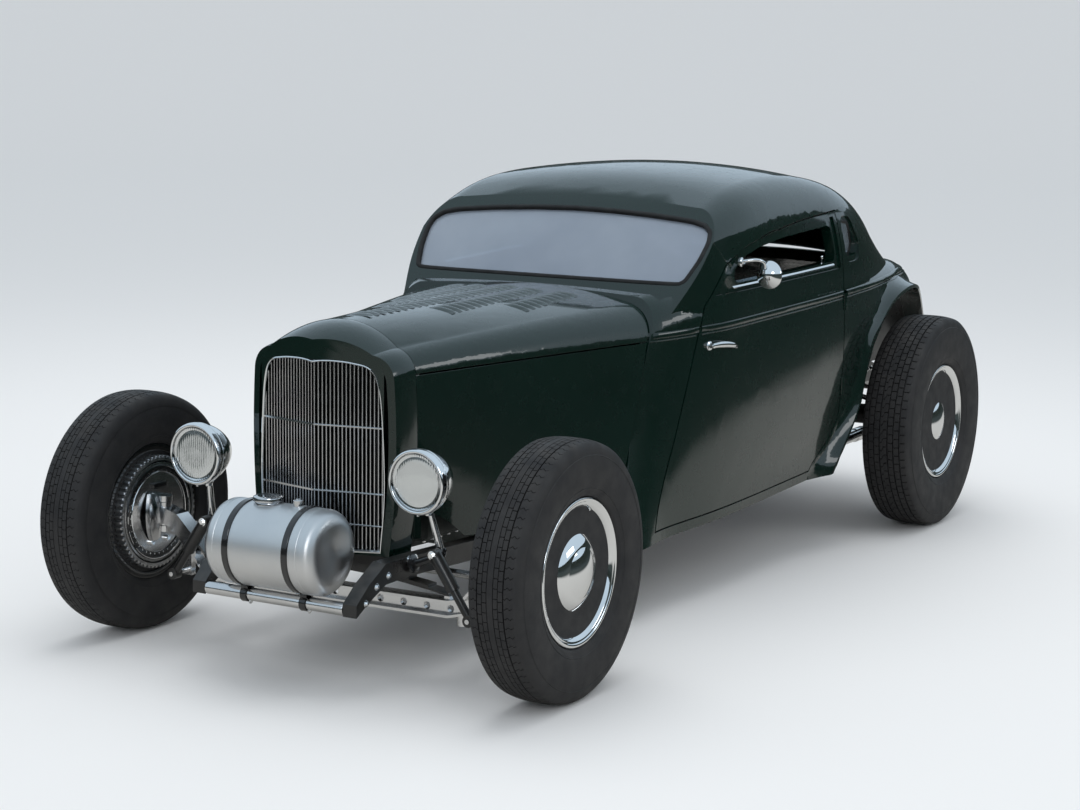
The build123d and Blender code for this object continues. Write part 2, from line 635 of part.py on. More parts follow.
def buildGrille():
    """V-shaped grille insert: vertical bars on two slanted planes, tied by three cross bars."""
    bars = []
    for i in range(-barsASide, barsASide + 1):
        x = i * barPitch
        y = grilleNoseY + 8 + abs(x) * grilleSlope
        bars.append(box(x - barWidth / 2, x + barWidth / 2, y, y + 12, 350, 910))
    for z in crossBarHeights:
        wing = Face(Wire.make_polygon([(0, grilleNoseY + 5, z), (230, grilleNoseY + 5 + 230 * grilleSlope, z),
                                       (230, grilleNoseY + 16 + 230 * grilleSlope, z), (0, grilleNoseY + 16, z)], close=True))
        bars.append(both(extrude(wing, amount=5, dir=(0, 0, 1))))
    whole = bars[0].fuse(*bars[1:])
    return whole & mouthPrism(seatFit)


def buildShell():
    """The grille surround: a V-nosed shell open at the front, the back and underneath."""
    outer = hull(shellRows)
    inner = hull(shellRows, shellWall)
    nose = Face(Wire.make_polygon([(0, grilleNoseY, 0), (300, grilleNoseY + 300 * grilleSlope, 0), (300, -300, 0),
                                   (0, -300, 0)], close=True))
    front = both(extrude(nose, amount=1200, dir=(0, 0, 1)))
    hollow = inner & box(-400, 400, -70, 60, 0, 1200)
    shell = outer - front - hollow - mouthPrism(0) - box(-206, 206, -66, 60, 300, 380)
    return shell + hoodLedge(shellRearY, shellRearY + 24)


def buildHood():
    skin = hull(noseRows) - hull(noseRows, hoodWall, 500)
    skin = skin & raked(-panelGap / 2, False) & box(-900, 900, shellRearY + 2, 2000, 0, 2000)
    seam = sidePrism([(0, 862), (1200, 873), (1200, 2000), (0, 2000)], 0, -900, 900)
    below = sidePrism([(0, 372), (700, 330), (1200, 330), (1200, 868), (0, 857)], 0, -900, 900)
    return skin & seam, skin & below


def buildTank():
    h = tankHalf
    r = tankRadius
    body = turned([(-h, 0), (-h, 40), (-h + 14, 84), (-h + 40, r - 3), (-h + 52, r), (h - 52, r), (h - 40, r - 3),
                   (h - 14, 84), (h, 40), (h, 0)], 0, tankY, tankZ)
    cap = Pos(-30, tankY, tankZ + r + 8) * Cylinder(36, 26) + Pos(62, tankY, tankZ + r + 2) * Cylinder(13, 20)
    return body + cap


def buildStraps():
    r = tankRadius + seatFit
    ring = None
    for x in (-100, 105):
        w = strapWidth / 2
        strap = turned([(x - w, r), (x + w, r), (x + w, r + strapThickness), (x - w, r + strapThickness)], 0, tankY, tankZ)
        foot = box(x - w, x + w, spreaderY - 14, spreaderY + 14, spreaderZ, tankZ - r + 4)
        foot = foot - rod((x - 60, spreaderY, spreaderZ), (x + 60, spreaderY, spreaderZ), spreaderRadius + seatFit)
        foot = foot - rod((x - 60, tankY, tankZ), (x + 60, tankY, tankZ), r)
        piece = strap + foot
        ring = piece if ring is None else ring + piece
    return ring


def buildLamps():
    """Headlamp buckets on their posts, with the arms that also carry the shocks, and the lenses."""
    plane = Plane(origin=(lampX, lampY, lampZ), x_dir=(1, 0, 0), z_dir=(0, 1, 0))
    r = lampRadius
    outer = [(0, lampDepth), (30, lampDepth - 3), (60, lampDepth - 28), (80, 60), (r - 6, 22), (r, 18), (r, 4), (r - 6, 0)]
    inner = [(r - 12, 4), (r - 12, 18), (72, 56), (54, lampDepth - 34), (28, lampDepth - 8), (0, lampDepth - 5)]
    bucket = plane * revolve(Rot(90, 0, 0) * make_face(Polyline(*(outer + inner), close=True)), axis=Axis.Z)
    lensFace = make_face(Polyline((0, -8), (50, -4), (r - 12.3, 5), (r - 12.3, 11), (50, 2), (0, -2), close=True))
    lens = plane * revolve(Rot(90, 0, 0) * lensFace, axis=Axis.Z)
    knee = (404, -64, 384)
    head = (lampX, lampY + 64, lampZ - lampRadius + 14)
    post = rod((290, -56, 338), knee, 12) + Pos(*knee) * Sphere(13) + rod(knee, head, 9) + rod(knee, (404, -117, 384), 7)
    post += Pos(lampX, head[1], head[2]) * Cylinder(15, 16)
    post = post - plane * revolve(Rot(90, 0, 0) * make_face(Polyline(*(outer + [(0, 0)]), close=True)), axis=Axis.Z)
    rail = box(216, 300.5, -120, 20, 280, 370)
    return both(bucket + (post - rail)), both(lens)


def buildShocks():
    """Tubular shocks between the lamp arms and the axle."""
    t = Vector(*shockTop)
    b = Vector(*shockLow)
    mid = t + (b - t) * 0.55
    body = rod(shockTop, tuple(mid), 19) + rod(tuple(mid), shockLow, 12)
    eyes = Pos(*shockTop) * Rot(90, 0, 0) * Cylinder(17, 30) + Pos(*shockLow) * Rot(90, 0, 0) * Cylinder(17, 30)
    bores = Pos(*shockTop) * Rot(90, 0, 0) * Cylinder(7 + seatFit, 80) + Pos(*shockLow) * Rot(90, 0, 0) * Cylinder(7 + seatFit, 80)
    return both((body + eyes) - bores)


def buildRods():
    """Split wishbones: a tube each side from under the front axle, and one ahead of the rear axle, to the frame."""
    front = rod((440, 0, 180), (432, 900, 244), 15) + Pos(440, 0, 184) * Cylinder(20, 34) + Pos(432, 900, 244) * Sphere(22)
    front = front - frontPrism(bandOutline(axleLine, axleDepth / 2 + seatFit), -60, 60)
    rear = rod((520, wheelbase - 40, 352), (467, 1700, 300), 16) + Pos(467, 1700, 300) * Sphere(22)
    rear += box(508, 534, wheelbase - 60, wheelbase - 20, 335, 400)
    rear = rear - rod((400, wheelbase, rearTyreRadius), (590, wheelbase, rearTyreRadius), 38 + seatFit)
    return both(front) + both(rear)


def buildInterior():
    """Floor with its tunnel and wheel wells, firewall, dashboard and seat, all fitted inside the body's walls."""
    room = hull(tubRows, doorWall + seatFit, 400)
    t = floorThickness
    path = [(floorFrontY, floorZ), (trunkFloorY, floorZ), (trunkFloorY, trunkFloorZ), (3330, trunkFloorZ),
            (3330, trunkFloorZ + t), (trunkFloorY - 14, trunkFloorZ + t), (trunkFloorY - 14, floorZ + t), (floorFrontY, floorZ + t)]
    floor = room & sidePrism(path, 0, -700, 700)
    tunnel = box(-tunnelHalf, tunnelHalf, floorFrontY, trunkFloorY, floorZ, tunnelTopZ)
    floor += box(-330, 330, 2420, 2820, trunkFloorZ + t, trunkFloorZ + t + matThickness)
    hollow = box(-tunnelHalf + 8, tunnelHalf - 8, floorFrontY - 50, trunkFloorY + 20, 200, tunnelTopZ - 8)
    wellCut = archSolid(0, tubX, 900)
    well = (wellCut - archSolid(archWall, tubX + archWall, 1000)) & room
    keep = box(400, 900, 2000, trunkFloorY, floorZ, 900) + box(400, 900, 2000, 3500, trunkFloorZ, 1200)
    well = well & keep
    floor = ((floor + tunnel) - hollow - both(wellCut)) + both(well)
    wider = hull(tubRows, doorWall - 2, 400)
    firewall = (wider & raked(panelGap + 30, True)) & raked(panelGap + 38, False) & box(-700, 700, 0, 2000, floorZ + seatFit, 1100)
    firewall = firewall - box(-tunnelHalf - seatFit, tunnelHalf + seatFit, 0, 2000, 200, tunnelTopZ + seatFit)
    dash = room & box(-700, 700, 1180, 1230, 880, 990)
    dash += box(293, 325, 1192, 1224, 735.2, 890)
    base = box(-450, 450, 1840, 2310, tunnelTopZ + seatFit, 590)
    base += both(box(140, 450, 1860, 2310, floorZ + t, tunnelTopZ + 2))
    base += sidePrism([(2170, 589), (2310, 589), (2310, 960), (2240, 960)], 0, -450, 450)
    return floor, firewall, dash, base


def buildSteering():
    hubPoint = Vector(330, 1560, 905)
    foot = Vector(286, 900, 516)
    direction = (foot - hubPoint).normalized()
    wheelPlane = Plane(origin=hubPoint, z_dir=direction * -1)
    wheel = wheelPlane * Torus(200, 13) + wheelPlane * Cylinder(34, 30)
    for a in (0, 120, 240):
        wheel += wheelPlane * Rot(0, 0, a + 90) * Pos(112, 0, 0) * Box(190, 26, 7)
    shaft = rod(tuple(hubPoint), tuple(hubPoint + direction * 120), 10)
    column = rod(tuple(hubPoint + direction * 22), tuple(foot), 24)
    column = column - rod(tuple(hubPoint), tuple(hubPoint + direction * 126), 10 + runningFit)
    column = column & raked(panelGap + 38 + seatFit, True)
    return wheel + shaft, column, hubPoint, direction


def buildDoorBrightwork():
    """The door's mirror on its curved arm and the handle."""
    head = Vector(668, 1490, 1056)
    base = Vector(604, 1420, 1100)
    mirrorShape = Pos(*head) * Rot(90, 0, 0) * Cylinder(48, 16) + Pos(head.X, head.Y - 8, head.Z) * Sphere(30)
    elbow = (650, 1436, 1104)
    mirrorShape += rod(tuple(base), elbow, 6) + Pos(*elbow) * Sphere(6) + rod(elbow, (668, 1480, 1070), 6)
    mirrorShape += rod((560, base.Y, base.Z), (614, base.Y, base.Z), 13)
    mirrorShape = mirrorShape - hull(cabRows, -seatFit)
    plate = rod((540, 1268, 838), (590, 1268, 838), 13)
    lever = rod((580, 1268, 838), (606, 1268, 838), 7) + rod((606, 1262, 838), (620, 1385, 822), 7)
    handle = (plate + lever) - hull(tubRows, -seatFit)
    return mirrorShape + handle


# Assembly
door, roof, cowl, right, lid = buildBody()
for zc in hingeHeights:
    doorLeaf = (hingeX - 32, hingeX - 4, hingeY - 22, hingeY - 3)
    postLeaf = (hingeX - 32, hingeX - 4, hingeY + 0.5, hingeY + 22)
    swinging, fixed, doorPocket, bodyPocket = hinge((hingeX, hingeY, zc), (0, 0, 1), postLeaf, doorLeaf)
    door = (door - doorPocket) + swinging
    right = (right - mirrored(bodyPocket)) + mirrored(fixed)
lidLeaf = (lidHingeY + 1, lidHingeY + 36, lidHingeZ - 26, lidHingeZ - 4)
deckLeaf = (lidHingeY - 30, lidHingeY - 1, lidHingeZ - 12, lidHingeZ - 2)
swinging, fixed, lidPocket, deckPocket = hinge((lidHingeX, lidHingeY, lidHingeZ), (1, 0, 0), deckLeaf, lidLeaf)
relief = barrel((0, lidHingeY, lidHingeZ), (1, 0, 0), lidReliefRadius, 2 * lidHingeX - hingeLength - 8)
lid = (lid - relief - both(lidPocket)) + both(swinging)  # the relief lets its front edge turn past the body's
right = (right - mirrored(deckPocket)) + mirrored(fixed)
left = mirrored(right)
add("door_left", door)
add("door_right", mirrored(door))
add("roof", roof)
add("cowl", cowl)
add("quarter_left", left)
add("quarter_right", right)
add("deck_lid", lid)
hoodTop, hoodSides = buildHood()
add("hood_top", hoodTop)
add("hood_sides", hoodSides)
add("grille_shell", buildShell())
add("grille_bars", buildGrille())
add("radiator", box(-196, 196, -48, 16, 344.3 + seatFit, 880))
quarterGlass = sidePrism(quarterSide, -seatFit, 584, 584 + glassThickness, 22 - seatFit)
add("body_glass", screenPrism(-seatFit, -10, 10 + glassThickness) + backGlass(-seatFit, -24, -18) + both(quarterGlass))
add("frame", buildFrame())
add("front_axle", buildAxle())
frontSpring = leafSpring(0, 402, 248, 34, 4, 44, 7)
add("springs", frontSpring + leafSpring(springY, 480, 430, 60, 5, 50, 9))
add("spreader_bar", rod((-238.7, spreaderY, spreaderZ), (238.7, spreaderY, spreaderZ), spreaderRadius))
add("fuel_tank", buildTank())
add("tank_straps", buildStraps())
buckets, lenses = buildLamps()
add("headlamps", buckets)
add("headlamp_lenses", lenses)
add("front_shocks", buildShocks())
add("radius_rods", buildRods())
add("rear_axle", buildRearAxle())
shaft = rod((0, 1400, gearboxZ), (0, wheelbase - 200, 398), 30) & box(-50, 50, 1500 + seatFit, wheelbase - 240 - seatFit, 200, 500)
add("driveshaft", shaft)
gearbox = Plane(origin=(0, 790, gearboxZ), z_dir=(0, 1, 0)) * Pos(0, 0, 355) * Cone(98, 60, 710)
add("engine", box(-engineHalf, engineHalf, 240, 800, 300, 800) + gearbox)
floor, firewall, dash, seat = buildInterior()
add("floor", floor)
parts["cowl"] = parts["cowl"] + firewall
add("dashboard", dash)
add("seat", seat)
steeringWheel, column, hubPoint, direction = buildSteering()
add("steering_wheel", steeringWheel)
add("steering_column", column)
knuckle = buildKnuckle()
add("knuckle_left", knuckle)
add("knuckle_right", mirrored(knuckle))
tie = rod((-kingpinX, steerArmLength, tieRodZ), (kingpinX, steerArmLength, tieRodZ), tieRodRadius)
tie += both(Pos(kingpinX, steerArmLength, (tieRodZ + steerArmZ + 14) / 2) * Cylinder(tiePinRadius, steerArmZ + 14 - tieRodZ))
add("tie_rod", tie)
buildWheels()
trim = buildDoorBrightwork()
add("door_brightwork_left", trim)
add("door_brightwork_right", mirrored(trim))
pipe = rod((exhaustX, 900, exhaustZ), (exhaustX, 3380, exhaustZ), exhaustRadius)
pipe += rod((exhaustX, 3380 - tipLength, exhaustZ), (exhaustX, 3380, exhaustZ), tipRadius)
pipe -= rod((exhaustX, 800, exhaustZ), (exhaustX, 3500, exhaustZ), exhaustRadius - 3)
add("exhausts", both(pipe))
lamp = rod((300, 3400, 520), (300, 3510, 520), 38) - hull(tubRows, -seatFit)
add("tail_lamps", both(lamp))

os.makedirs("parts", exist_ok=True)
placed = {name: Pos(0, -midLength, 0) * shape for name, shape in parts.items()}
placed["quarter_left"] = mirrored(placed["quarter_right"])  # mirrored where it stands, or its file reads back as not valid
for name, shape in placed.items():
    export_step(shape, "parts/" + name + ".step")
print(len(parts), "nodes", "steering hub", hubPoint, direction)
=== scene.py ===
import bpy, bmesh, json
from math import cos, pi, radians, sin, sqrt
from mathutils import Matrix, Vector
from mathutils.bvhtree import BVHTree


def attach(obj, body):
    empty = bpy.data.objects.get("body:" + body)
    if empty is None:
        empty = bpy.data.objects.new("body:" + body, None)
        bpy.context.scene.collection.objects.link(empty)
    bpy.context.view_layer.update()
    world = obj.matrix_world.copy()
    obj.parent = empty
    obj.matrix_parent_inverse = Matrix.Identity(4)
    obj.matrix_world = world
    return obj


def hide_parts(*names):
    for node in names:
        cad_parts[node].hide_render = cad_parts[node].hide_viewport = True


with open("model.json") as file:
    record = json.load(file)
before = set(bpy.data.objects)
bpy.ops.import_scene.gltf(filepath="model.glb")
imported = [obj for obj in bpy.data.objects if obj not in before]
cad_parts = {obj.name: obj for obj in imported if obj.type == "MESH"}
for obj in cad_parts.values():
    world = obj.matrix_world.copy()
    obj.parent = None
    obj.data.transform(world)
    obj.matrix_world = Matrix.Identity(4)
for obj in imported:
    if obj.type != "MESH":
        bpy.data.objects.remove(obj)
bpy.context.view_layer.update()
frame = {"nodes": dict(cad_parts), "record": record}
nodes = frame["nodes"]
print("frame loaded:", len(nodes), "nodes")

# Lengths are in metres in the part's frame. Places that follow the drawing are given from the front axle,
# in millimetres, and at() moves them.
frontAxleY = -1.553


def at(x, y, z):
    return Vector((x / 1000, y / 1000 + frontAxleY, z / 1000))


# Camera.
cameraView = {
    "place": (3713.456, -5190.929, 1756.399),  # mm from the front axle
    "yaw": 0.529, "pitch": 0.155, "roll": 0.013,  # radians
    "lens": 74.53, "sensor": 36.0,  # mm
    "farClip": 200,  # m
}


def makeCamera():
    c = cameraView
    a, b, r = c["yaw"], c["pitch"], c["roll"]
    ahead = Vector((-sin(a) * cos(b), cos(a) * cos(b), -sin(b)))
    level = Vector((cos(a), sin(a), 0))
    up = level.cross(ahead)
    across = level * cos(r) + up * sin(r)
    upright = up * cos(r) - level * sin(r)
    data = bpy.data.cameras.new("photoCamera")
    data.lens, data.sensor_width, data.clip_end = c["lens"], c["sensor"], c["farClip"]
    camera = bpy.data.objects.new("photoCamera", data)
    bpy.context.scene.collection.objects.link(camera)
    turned = Matrix((across, upright, -ahead)).transposed().to_4x4()
    camera.matrix_world = Matrix.Translation(at(*c["place"])) @ turned
    bpy.context.scene.camera = camera


makeCamera()

# Stage: a pale floor that curls up into a round backdrop. Mirrored in the paint, both are darker.
stageLook = {
    "floorRadius": 26.0, "wallRadius": 44.0, "wallTop": 7.0,  # m
    "innerRing": 9.0, "wallFrom": 17.0,  # m; beyond wallFrom the mirrored colour is the wall's
    "sides": 96, "bendParts": 12,
    "pale": (0.86, 0.86, 0.855, 1), "mirrored": (0.60, 0.58, 0.54, 1),
    "mirroredWall": (0.030, 0.038, 0.031, 1),
    "rough": 0.75, "specular": 0.1,
    "paleEdge": (2.3, 3.4),  # m each side of the car's middle, where the mirrored floor turns dark
    "skyColor": (0.90, 0.95, 1.0, 1), "mirroredSky": (0.70, 0.86, 1.0, 1),
    "skyLevel": 0.80, "skySeen": 0.95, "skyMirrored": 0.80,
}


def newMaterial(name):
    m = bpy.data.materials.new(name)
    m.use_nodes = True
    return m, m.node_tree.nodes, m.node_tree.links, m.node_tree.nodes["Principled BSDF"]


def stageMaterial(name, pale, mirrored, beyond):
    m, n, l, shader = newMaterial(name)
    place, split = n.new("ShaderNodeNewGeometry"), n.new("ShaderNodeSeparateXYZ")
    reach = n.new("ShaderNodeMath")
    reach.operation = "ABSOLUTE"
    fade = n.new("ShaderNodeMapRange")
    fade.interpolation_type = "SMOOTHSTEP"
    fade.inputs["From Min"].default_value, fade.inputs["From Max"].default_value = stageLook["paleEdge"]
    l.new(place.outputs["Position"], split.inputs[0])
    l.new(split.outputs["X"], reach.inputs[0])
    l.new(reach.outputs[0], fade.inputs["Value"])
    path = n.new("ShaderNodeLightPath")
    far, mix = n.new("ShaderNodeMix"), n.new("ShaderNodeMix")
    far.data_type = mix.data_type = "RGBA"
    l.new(fade.outputs[0], far.inputs["Factor"])
    far.inputs[6].default_value, far.inputs[7].default_value = mirrored, beyond
    l.new(path.outputs["Is Glossy Ray"], mix.inputs["Factor"])
    mix.inputs[6].default_value = pale
    l.new(far.outputs[2], mix.inputs[7])
    l.new(mix.outputs[2], shader.inputs["Base Color"])
    shader.inputs["Roughness"].default_value = stageLook["rough"]
    shader.inputs["Specular IOR Level"].default_value = stageLook["specular"]
    return m


def makeFloor():
    s = stageLook
    sides, parts = s["sides"], s["bendParts"]
    profile = [(s["innerRing"], 0.0), (s["floorRadius"], 0.0)]
    for k in range(1, parts + 1):
        t = radians(90 * k / parts)
        reach = s["floorRadius"] + (s["wallRadius"] - s["floorRadius"]) * sin(t)
        profile.append((reach, s["wallTop"] * (1 - cos(t))))
    verts, faces = [(0, 0, 0)], []
    for radius, height in profile:
        verts += [(radius * cos(2 * pi * i / sides), radius * sin(2 * pi * i / sides), height)
                  for i in range(sides)]
    for i in range(sides):
        j = (i + 1) % sides
        faces.append((0, 1 + i, 1 + j))
        for ring in range(len(profile) - 1):
            a, b = 1 + ring * sides, 1 + (ring + 1) * sides
            faces.append((a + i, b + i, b + j, a + j))
    mesh = bpy.data.meshes.new("studioFloor")
    mesh.from_pydata(verts, [], faces)
    mesh.polygons.foreach_set("use_smooth", [True] * len(mesh.polygons))
    mesh.materials.append(stageMaterial("studioFloor", s["pale"], s["mirrored"], s["mirroredWall"]))
    mesh.materials.append(stageMaterial("studioWall", s["pale"], s["mirroredWall"], s["mirroredWall"]))
    for f in mesh.polygons:
        f.material_index = int((f.center.x ** 2 + f.center.y ** 2) ** 0.5 > s["wallFrom"])
    floor = bpy.data.objects.new("studioFloor", mesh)
    bpy.context.scene.collection.objects.link(floor)


def makeSky():
    s = stageLook
    world = bpy.data.worlds.new("studio")
    bpy.context.scene.world = world
    world.use_nodes = True
    n, l = world.node_tree.nodes, world.node_tree.links
    path, tint = n.new("ShaderNodeLightPath"), n.new("ShaderNodeMix")
    seen, level = n.new("ShaderNodeMix"), n.new("ShaderNodeMix")
    tint.data_type, seen.data_type, level.data_type = "RGBA", "FLOAT", "FLOAT"
    tint.inputs[6].default_value, tint.inputs[7].default_value = s["skyColor"], s["mirroredSky"]
    seen.inputs[2].default_value, seen.inputs[3].default_value = s["skyLevel"], s["skySeen"]
    level.inputs[3].default_value = s["skyMirrored"]
    l.new(path.outputs["Is Glossy Ray"], tint.inputs["Factor"])
    l.new(path.outputs["Is Camera Ray"], seen.inputs["Factor"])
    l.new(path.outputs["Is Glossy Ray"], level.inputs["Factor"])
    l.new(seen.outputs[0], level.inputs[2])
    l.new(tint.outputs[2], n["Background"].inputs["Color"])
    l.new(level.outputs[0], n["Background"].inputs["Strength"])


# places and sizes in m, power in W; the overhead lamp isn't mirrored, so that the tops show the sky
studioLamps = {
    "overhead": {"place": (-0.6, 0.4, 6.5), "aim": (0, 0, 0), "size": (5, 7), "power": 170,
                 "mirrored": False},
    "frontFill": {"place": (5.5, -8.5, 4.2), "aim": (0.2, 0, 0.6), "size": (3.2, 2.2), "power": 95},
    "sideFill": {"place": (9.0, 2.5, 3.6), "aim": (0, 0, 0.6), "size": (4, 1.6), "power": 60},
}


def softLight(name, place, aim, size, power, mirrored=True):
    data = bpy.data.lights.new(name, "AREA")
    data.shape, data.size, data.size_y, data.energy = "RECTANGLE", size[0], size[1], power
    lamp = bpy.data.objects.new(name, data)
    bpy.context.scene.collection.objects.link(lamp)
    lamp.location = place
    lamp.rotation_euler = (Vector(aim) - Vector(place)).to_track_quat("-Z", "Y").to_euler()
    lamp.visible_glossy = mirrored


makeFloor()
makeSky()
for name, lamp in studioLamps.items():
    softLight(name, **lamp)
bpy.context.scene.view_settings.view_transform = "Standard"
print("stage and lights ready")

# Shape helpers work in millimetres from the front axle, and finishPiece() moves the mesh to the part's frame.
toPart = Matrix.Translation((0, frontAxleY, 0)) @ Matrix.Scale(0.001, 4)
madePieces = {}


def axes(direction):
    w = Vector(direction).normalized()
    u = Vector((0, 0, 1)).cross(w)
    u = u.normalized() if u.length > 0.01 else Vector((1, 0, 0))
    return u, w.cross(u), w


def bridge(bm, a, b, mat, wrap):
    n = max(len(a), len(b))
    for i in range(n if wrap else n - 1):
        j = (i + 1) % n
        if len(a) == 1:
            corners = [a[0], b[i], b[j]]
        elif len(b) == 1:
            corners = [a[i], a[j], b[0]]
        else:
            corners = [a[i], a[j], b[j], b[i]]
        if len({v.index if v.index >= 0 else id(v) for v in corners}) == len(corners):
            bm.faces.new(corners).material_index = mat


def loft(bm, rings, mat=0, wrap=True, caps=True, closed=False):
    made = [[bm.verts.new(p) for p in ring] for ring in rings]
    for a, b in zip(made, made[1:] + (made[:1] if closed else [])):
        bridge(bm, a, b, mat, wrap)
    if caps and wrap and not closed:
        for ring in (made[0], made[-1]):
            if len(ring) > 2:
                bm.faces.new(ring).material_index = mat


# profile is (along the axis, radius) points, and a closed one makes a ring
def lathe(bm, profile, centre=(0, 0, 0), axis=(1, 0, 0), steps=64, mat=0, closed=False):
    u, v, w = axes(axis)
    c = Vector(centre)
    turns = [u * cos(2 * pi * i / steps) + v * sin(2 * pi * i / steps) for i in range(steps)]
    rings = [[c + w * along] if radius < 1e-5 else [c + w * along + turn * radius for turn in turns]
             for along, radius in profile]
    loft(bm, rings, mat, caps=not closed, closed=closed)


# a closed run of points, in the plane or in space, with its corners rounded
def rounded(points, bend, parts):
    out = []
    n = len(points)
    for i, p in enumerate(points):
        p = Vector(p)
        a, b = Vector(points[i - 1]), Vector(points[(i + 1) % n])
        p0, p1 = p.lerp(a, bend), p.lerp(b, bend)
        for k in range(parts + 1):
            t = k / parts
            out.append((p0.lerp(p, t)).lerp(p.lerp(p1, t), t))
    return out


# a Catmull-Rom line through the points, in the plane or in space
def smoothLine(points, parts=8):
    ps = [Vector(p) for p in points]
    out = []
    for i, (a, b) in enumerate(zip(ps, ps[1:])):
        before = ps[i - 1] if i else a * 2 - b
        after = ps[i + 2] if i + 2 < len(ps) else b * 2 - a
        for k in range(parts):
            t = k / parts
            out.append(((a * 2) + (b - before) * t + (before * 2 - a * 5 + b * 4 - after) * t * t
                        + (a * 3 - before - b * 3 + after) * t ** 3) * 0.5)
    return out + [ps[-1]]


# the (side, up) outline carried along a line; scale gives its size at each point
def sweep(bm, line, outline, mat=0, up=(0, 0, 1), closed=False, scale=None):
    line = [Vector(p) for p in line]
    n = len(line)
    rings = []
    for i, p in enumerate(line):
        a = line[i - 1] if closed or i else p
        b = line[(i + 1) % n] if closed or i + 1 < n else p
        ahead = (b - a).normalized()
        top = Vector(up[i]) if isinstance(up, list) else Vector(up)
        side = ahead.cross(top)
        side = side.normalized() if side.length > 1e-4 else ahead.orthogonal().normalized()
        top = side.cross(ahead)
        s = scale[i] if scale else 1.0
        rings.append([p + (side * x + top * y) * s for x, y in outline])
    loft(bm, rings, mat, closed=closed)


def circle(radius, steps=12, flat=1.0):
    return [(radius * cos(2 * pi * i / steps), radius * flat * sin(2 * pi * i / steps))
            for i in range(steps)]


def tube(bm, line, radius, steps=12, mat=0, scale=None):
    ahead = Vector(line[-1]) - Vector(line[0])
    up = (0, 0, 1) if abs(ahead.z) < 0.9 * ahead.length else (0, 1, 0)
    sweep(bm, line, circle(radius, steps), mat, up, scale=scale)


def easeEdges(bm, edges, width, segments):
    bmesh.ops.bevel(bm, geom=edges, offset=width, segments=segments, affect="EDGES", profile=0.6,
                    material=-1)


def block(bm, low, high, mat=0, bevel=1.5, segments=2):
    low, high = Vector(low), Vector(high)
    size = high - low
    matrix = Matrix.Translation((low + high) / 2) @ Matrix.Diagonal((*size, 1))
    made = bmesh.ops.create_cube(bm, size=1, matrix=matrix)["verts"]
    edges = {e for v in made for e in v.link_edges}
    for f in {f for v in made for f in v.link_faces}:
        f.material_index = mat
    if bevel:
        easeEdges(bm, list(edges), min(bevel, min(size) * 0.45), segments)


# a flat outline of (x, y) points, set by the 4x4 matrix place and thickened along its z
def plate(bm, outline, place, thick, mat=0, bevel=1.0):
    front = [bm.verts.new(place @ Vector((x, y, 0))) for x, y in outline]
    back = [bm.verts.new(place @ Vector((x, y, -thick))) for x, y in outline]
    sides = []
    for i in range(len(outline)):
        j = (i + 1) % len(outline)
        sides.append(bm.faces.new([front[i], front[j], back[j], back[i]]))
    made = [bm.faces.new(front), bm.faces.new(back[::-1])] + sides
    for f in made:
        f.material_index = mat
    easeEdges(bm, [e for f in made[:2] for e in f.edges], min(bevel, thick * 0.45), 2)


# a hexagon head with a chamfered top on its washer
def bolt(bm, centre, axis, radius=7, height=5, mat=0):
    washer = [(0, 0), (0, 1.45), (0.16, 1.5), (0.24, 1.4), (0.24, 0)]
    head = [(0, 1), (0.8, 1), (1, 0.82), (1.02, 0)]
    lathe(bm, [(radius * a, radius * b) for a, b in washer], centre, axis, 16, mat)
    lathe(bm, [(height * a, radius * b) for a, b in head], centre, axis, 6, mat)


def shadeSmooth(mesh, angle):
    mesh.polygons.foreach_set("use_smooth", [True] * len(mesh.polygons))
    mesh.set_sharp_from_angle(angle=radians(angle))


# looks are names of finishes, in the order of the mesh's material numbers
def finishPiece(name, bm, looks, slot, body, replaces=(), smooth=35, weld=0.01, mirror=False):
    bmesh.ops.remove_doubles(bm, verts=bm.verts, dist=weld)
    bmesh.ops.recalc_face_normals(bm, faces=bm.faces)
    if mirror:
        for v in bm.verts:
            v.co.x = -v.co.x
        bmesh.ops.reverse_faces(bm, faces=bm.faces)
    mesh = bpy.data.meshes.new(name)
    bm.transform(toPart)
    bm.to_mesh(mesh)
    bm.free()
    shadeSmooth(mesh, smooth)
    return addPiece(name, mesh, looks, body, replaces)


def addPiece(name, mesh, looks, body, replaces=()):
    for look in looks:
        mesh.materials.append(finishes[look])
    obj = bpy.data.objects.new(name, mesh)
    bpy.context.scene.collection.objects.link(obj)
    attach(obj, body)
    if replaces:
        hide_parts(*replaces)
    madePieces[name] = obj
    return obj


def makePiece(build, name, looks, slot, body="root", replaces=(), **more):
    bm = bmesh.new()
    build(bm)
    return finishPiece(name, bm, looks, slot, body, replaces, **more)


def pair(stem):
    return stem + "_left", stem + "_right"


# the same builder on the left and mirrored on the right; bodies and replaces hold the name for each side
def bothSides(build, name, looks, slot, bodies=("root", "root"), replaces=None, **more):
    for i, side in enumerate(("left", "right")):
        makePiece(build, name + "_" + side, looks, slot, bodies[i], (replaces[i],) if replaces else (),
                  mirror=bool(i), **more)


# Materials.
dustColor = (0.30, 0.28, 0.25, 1)


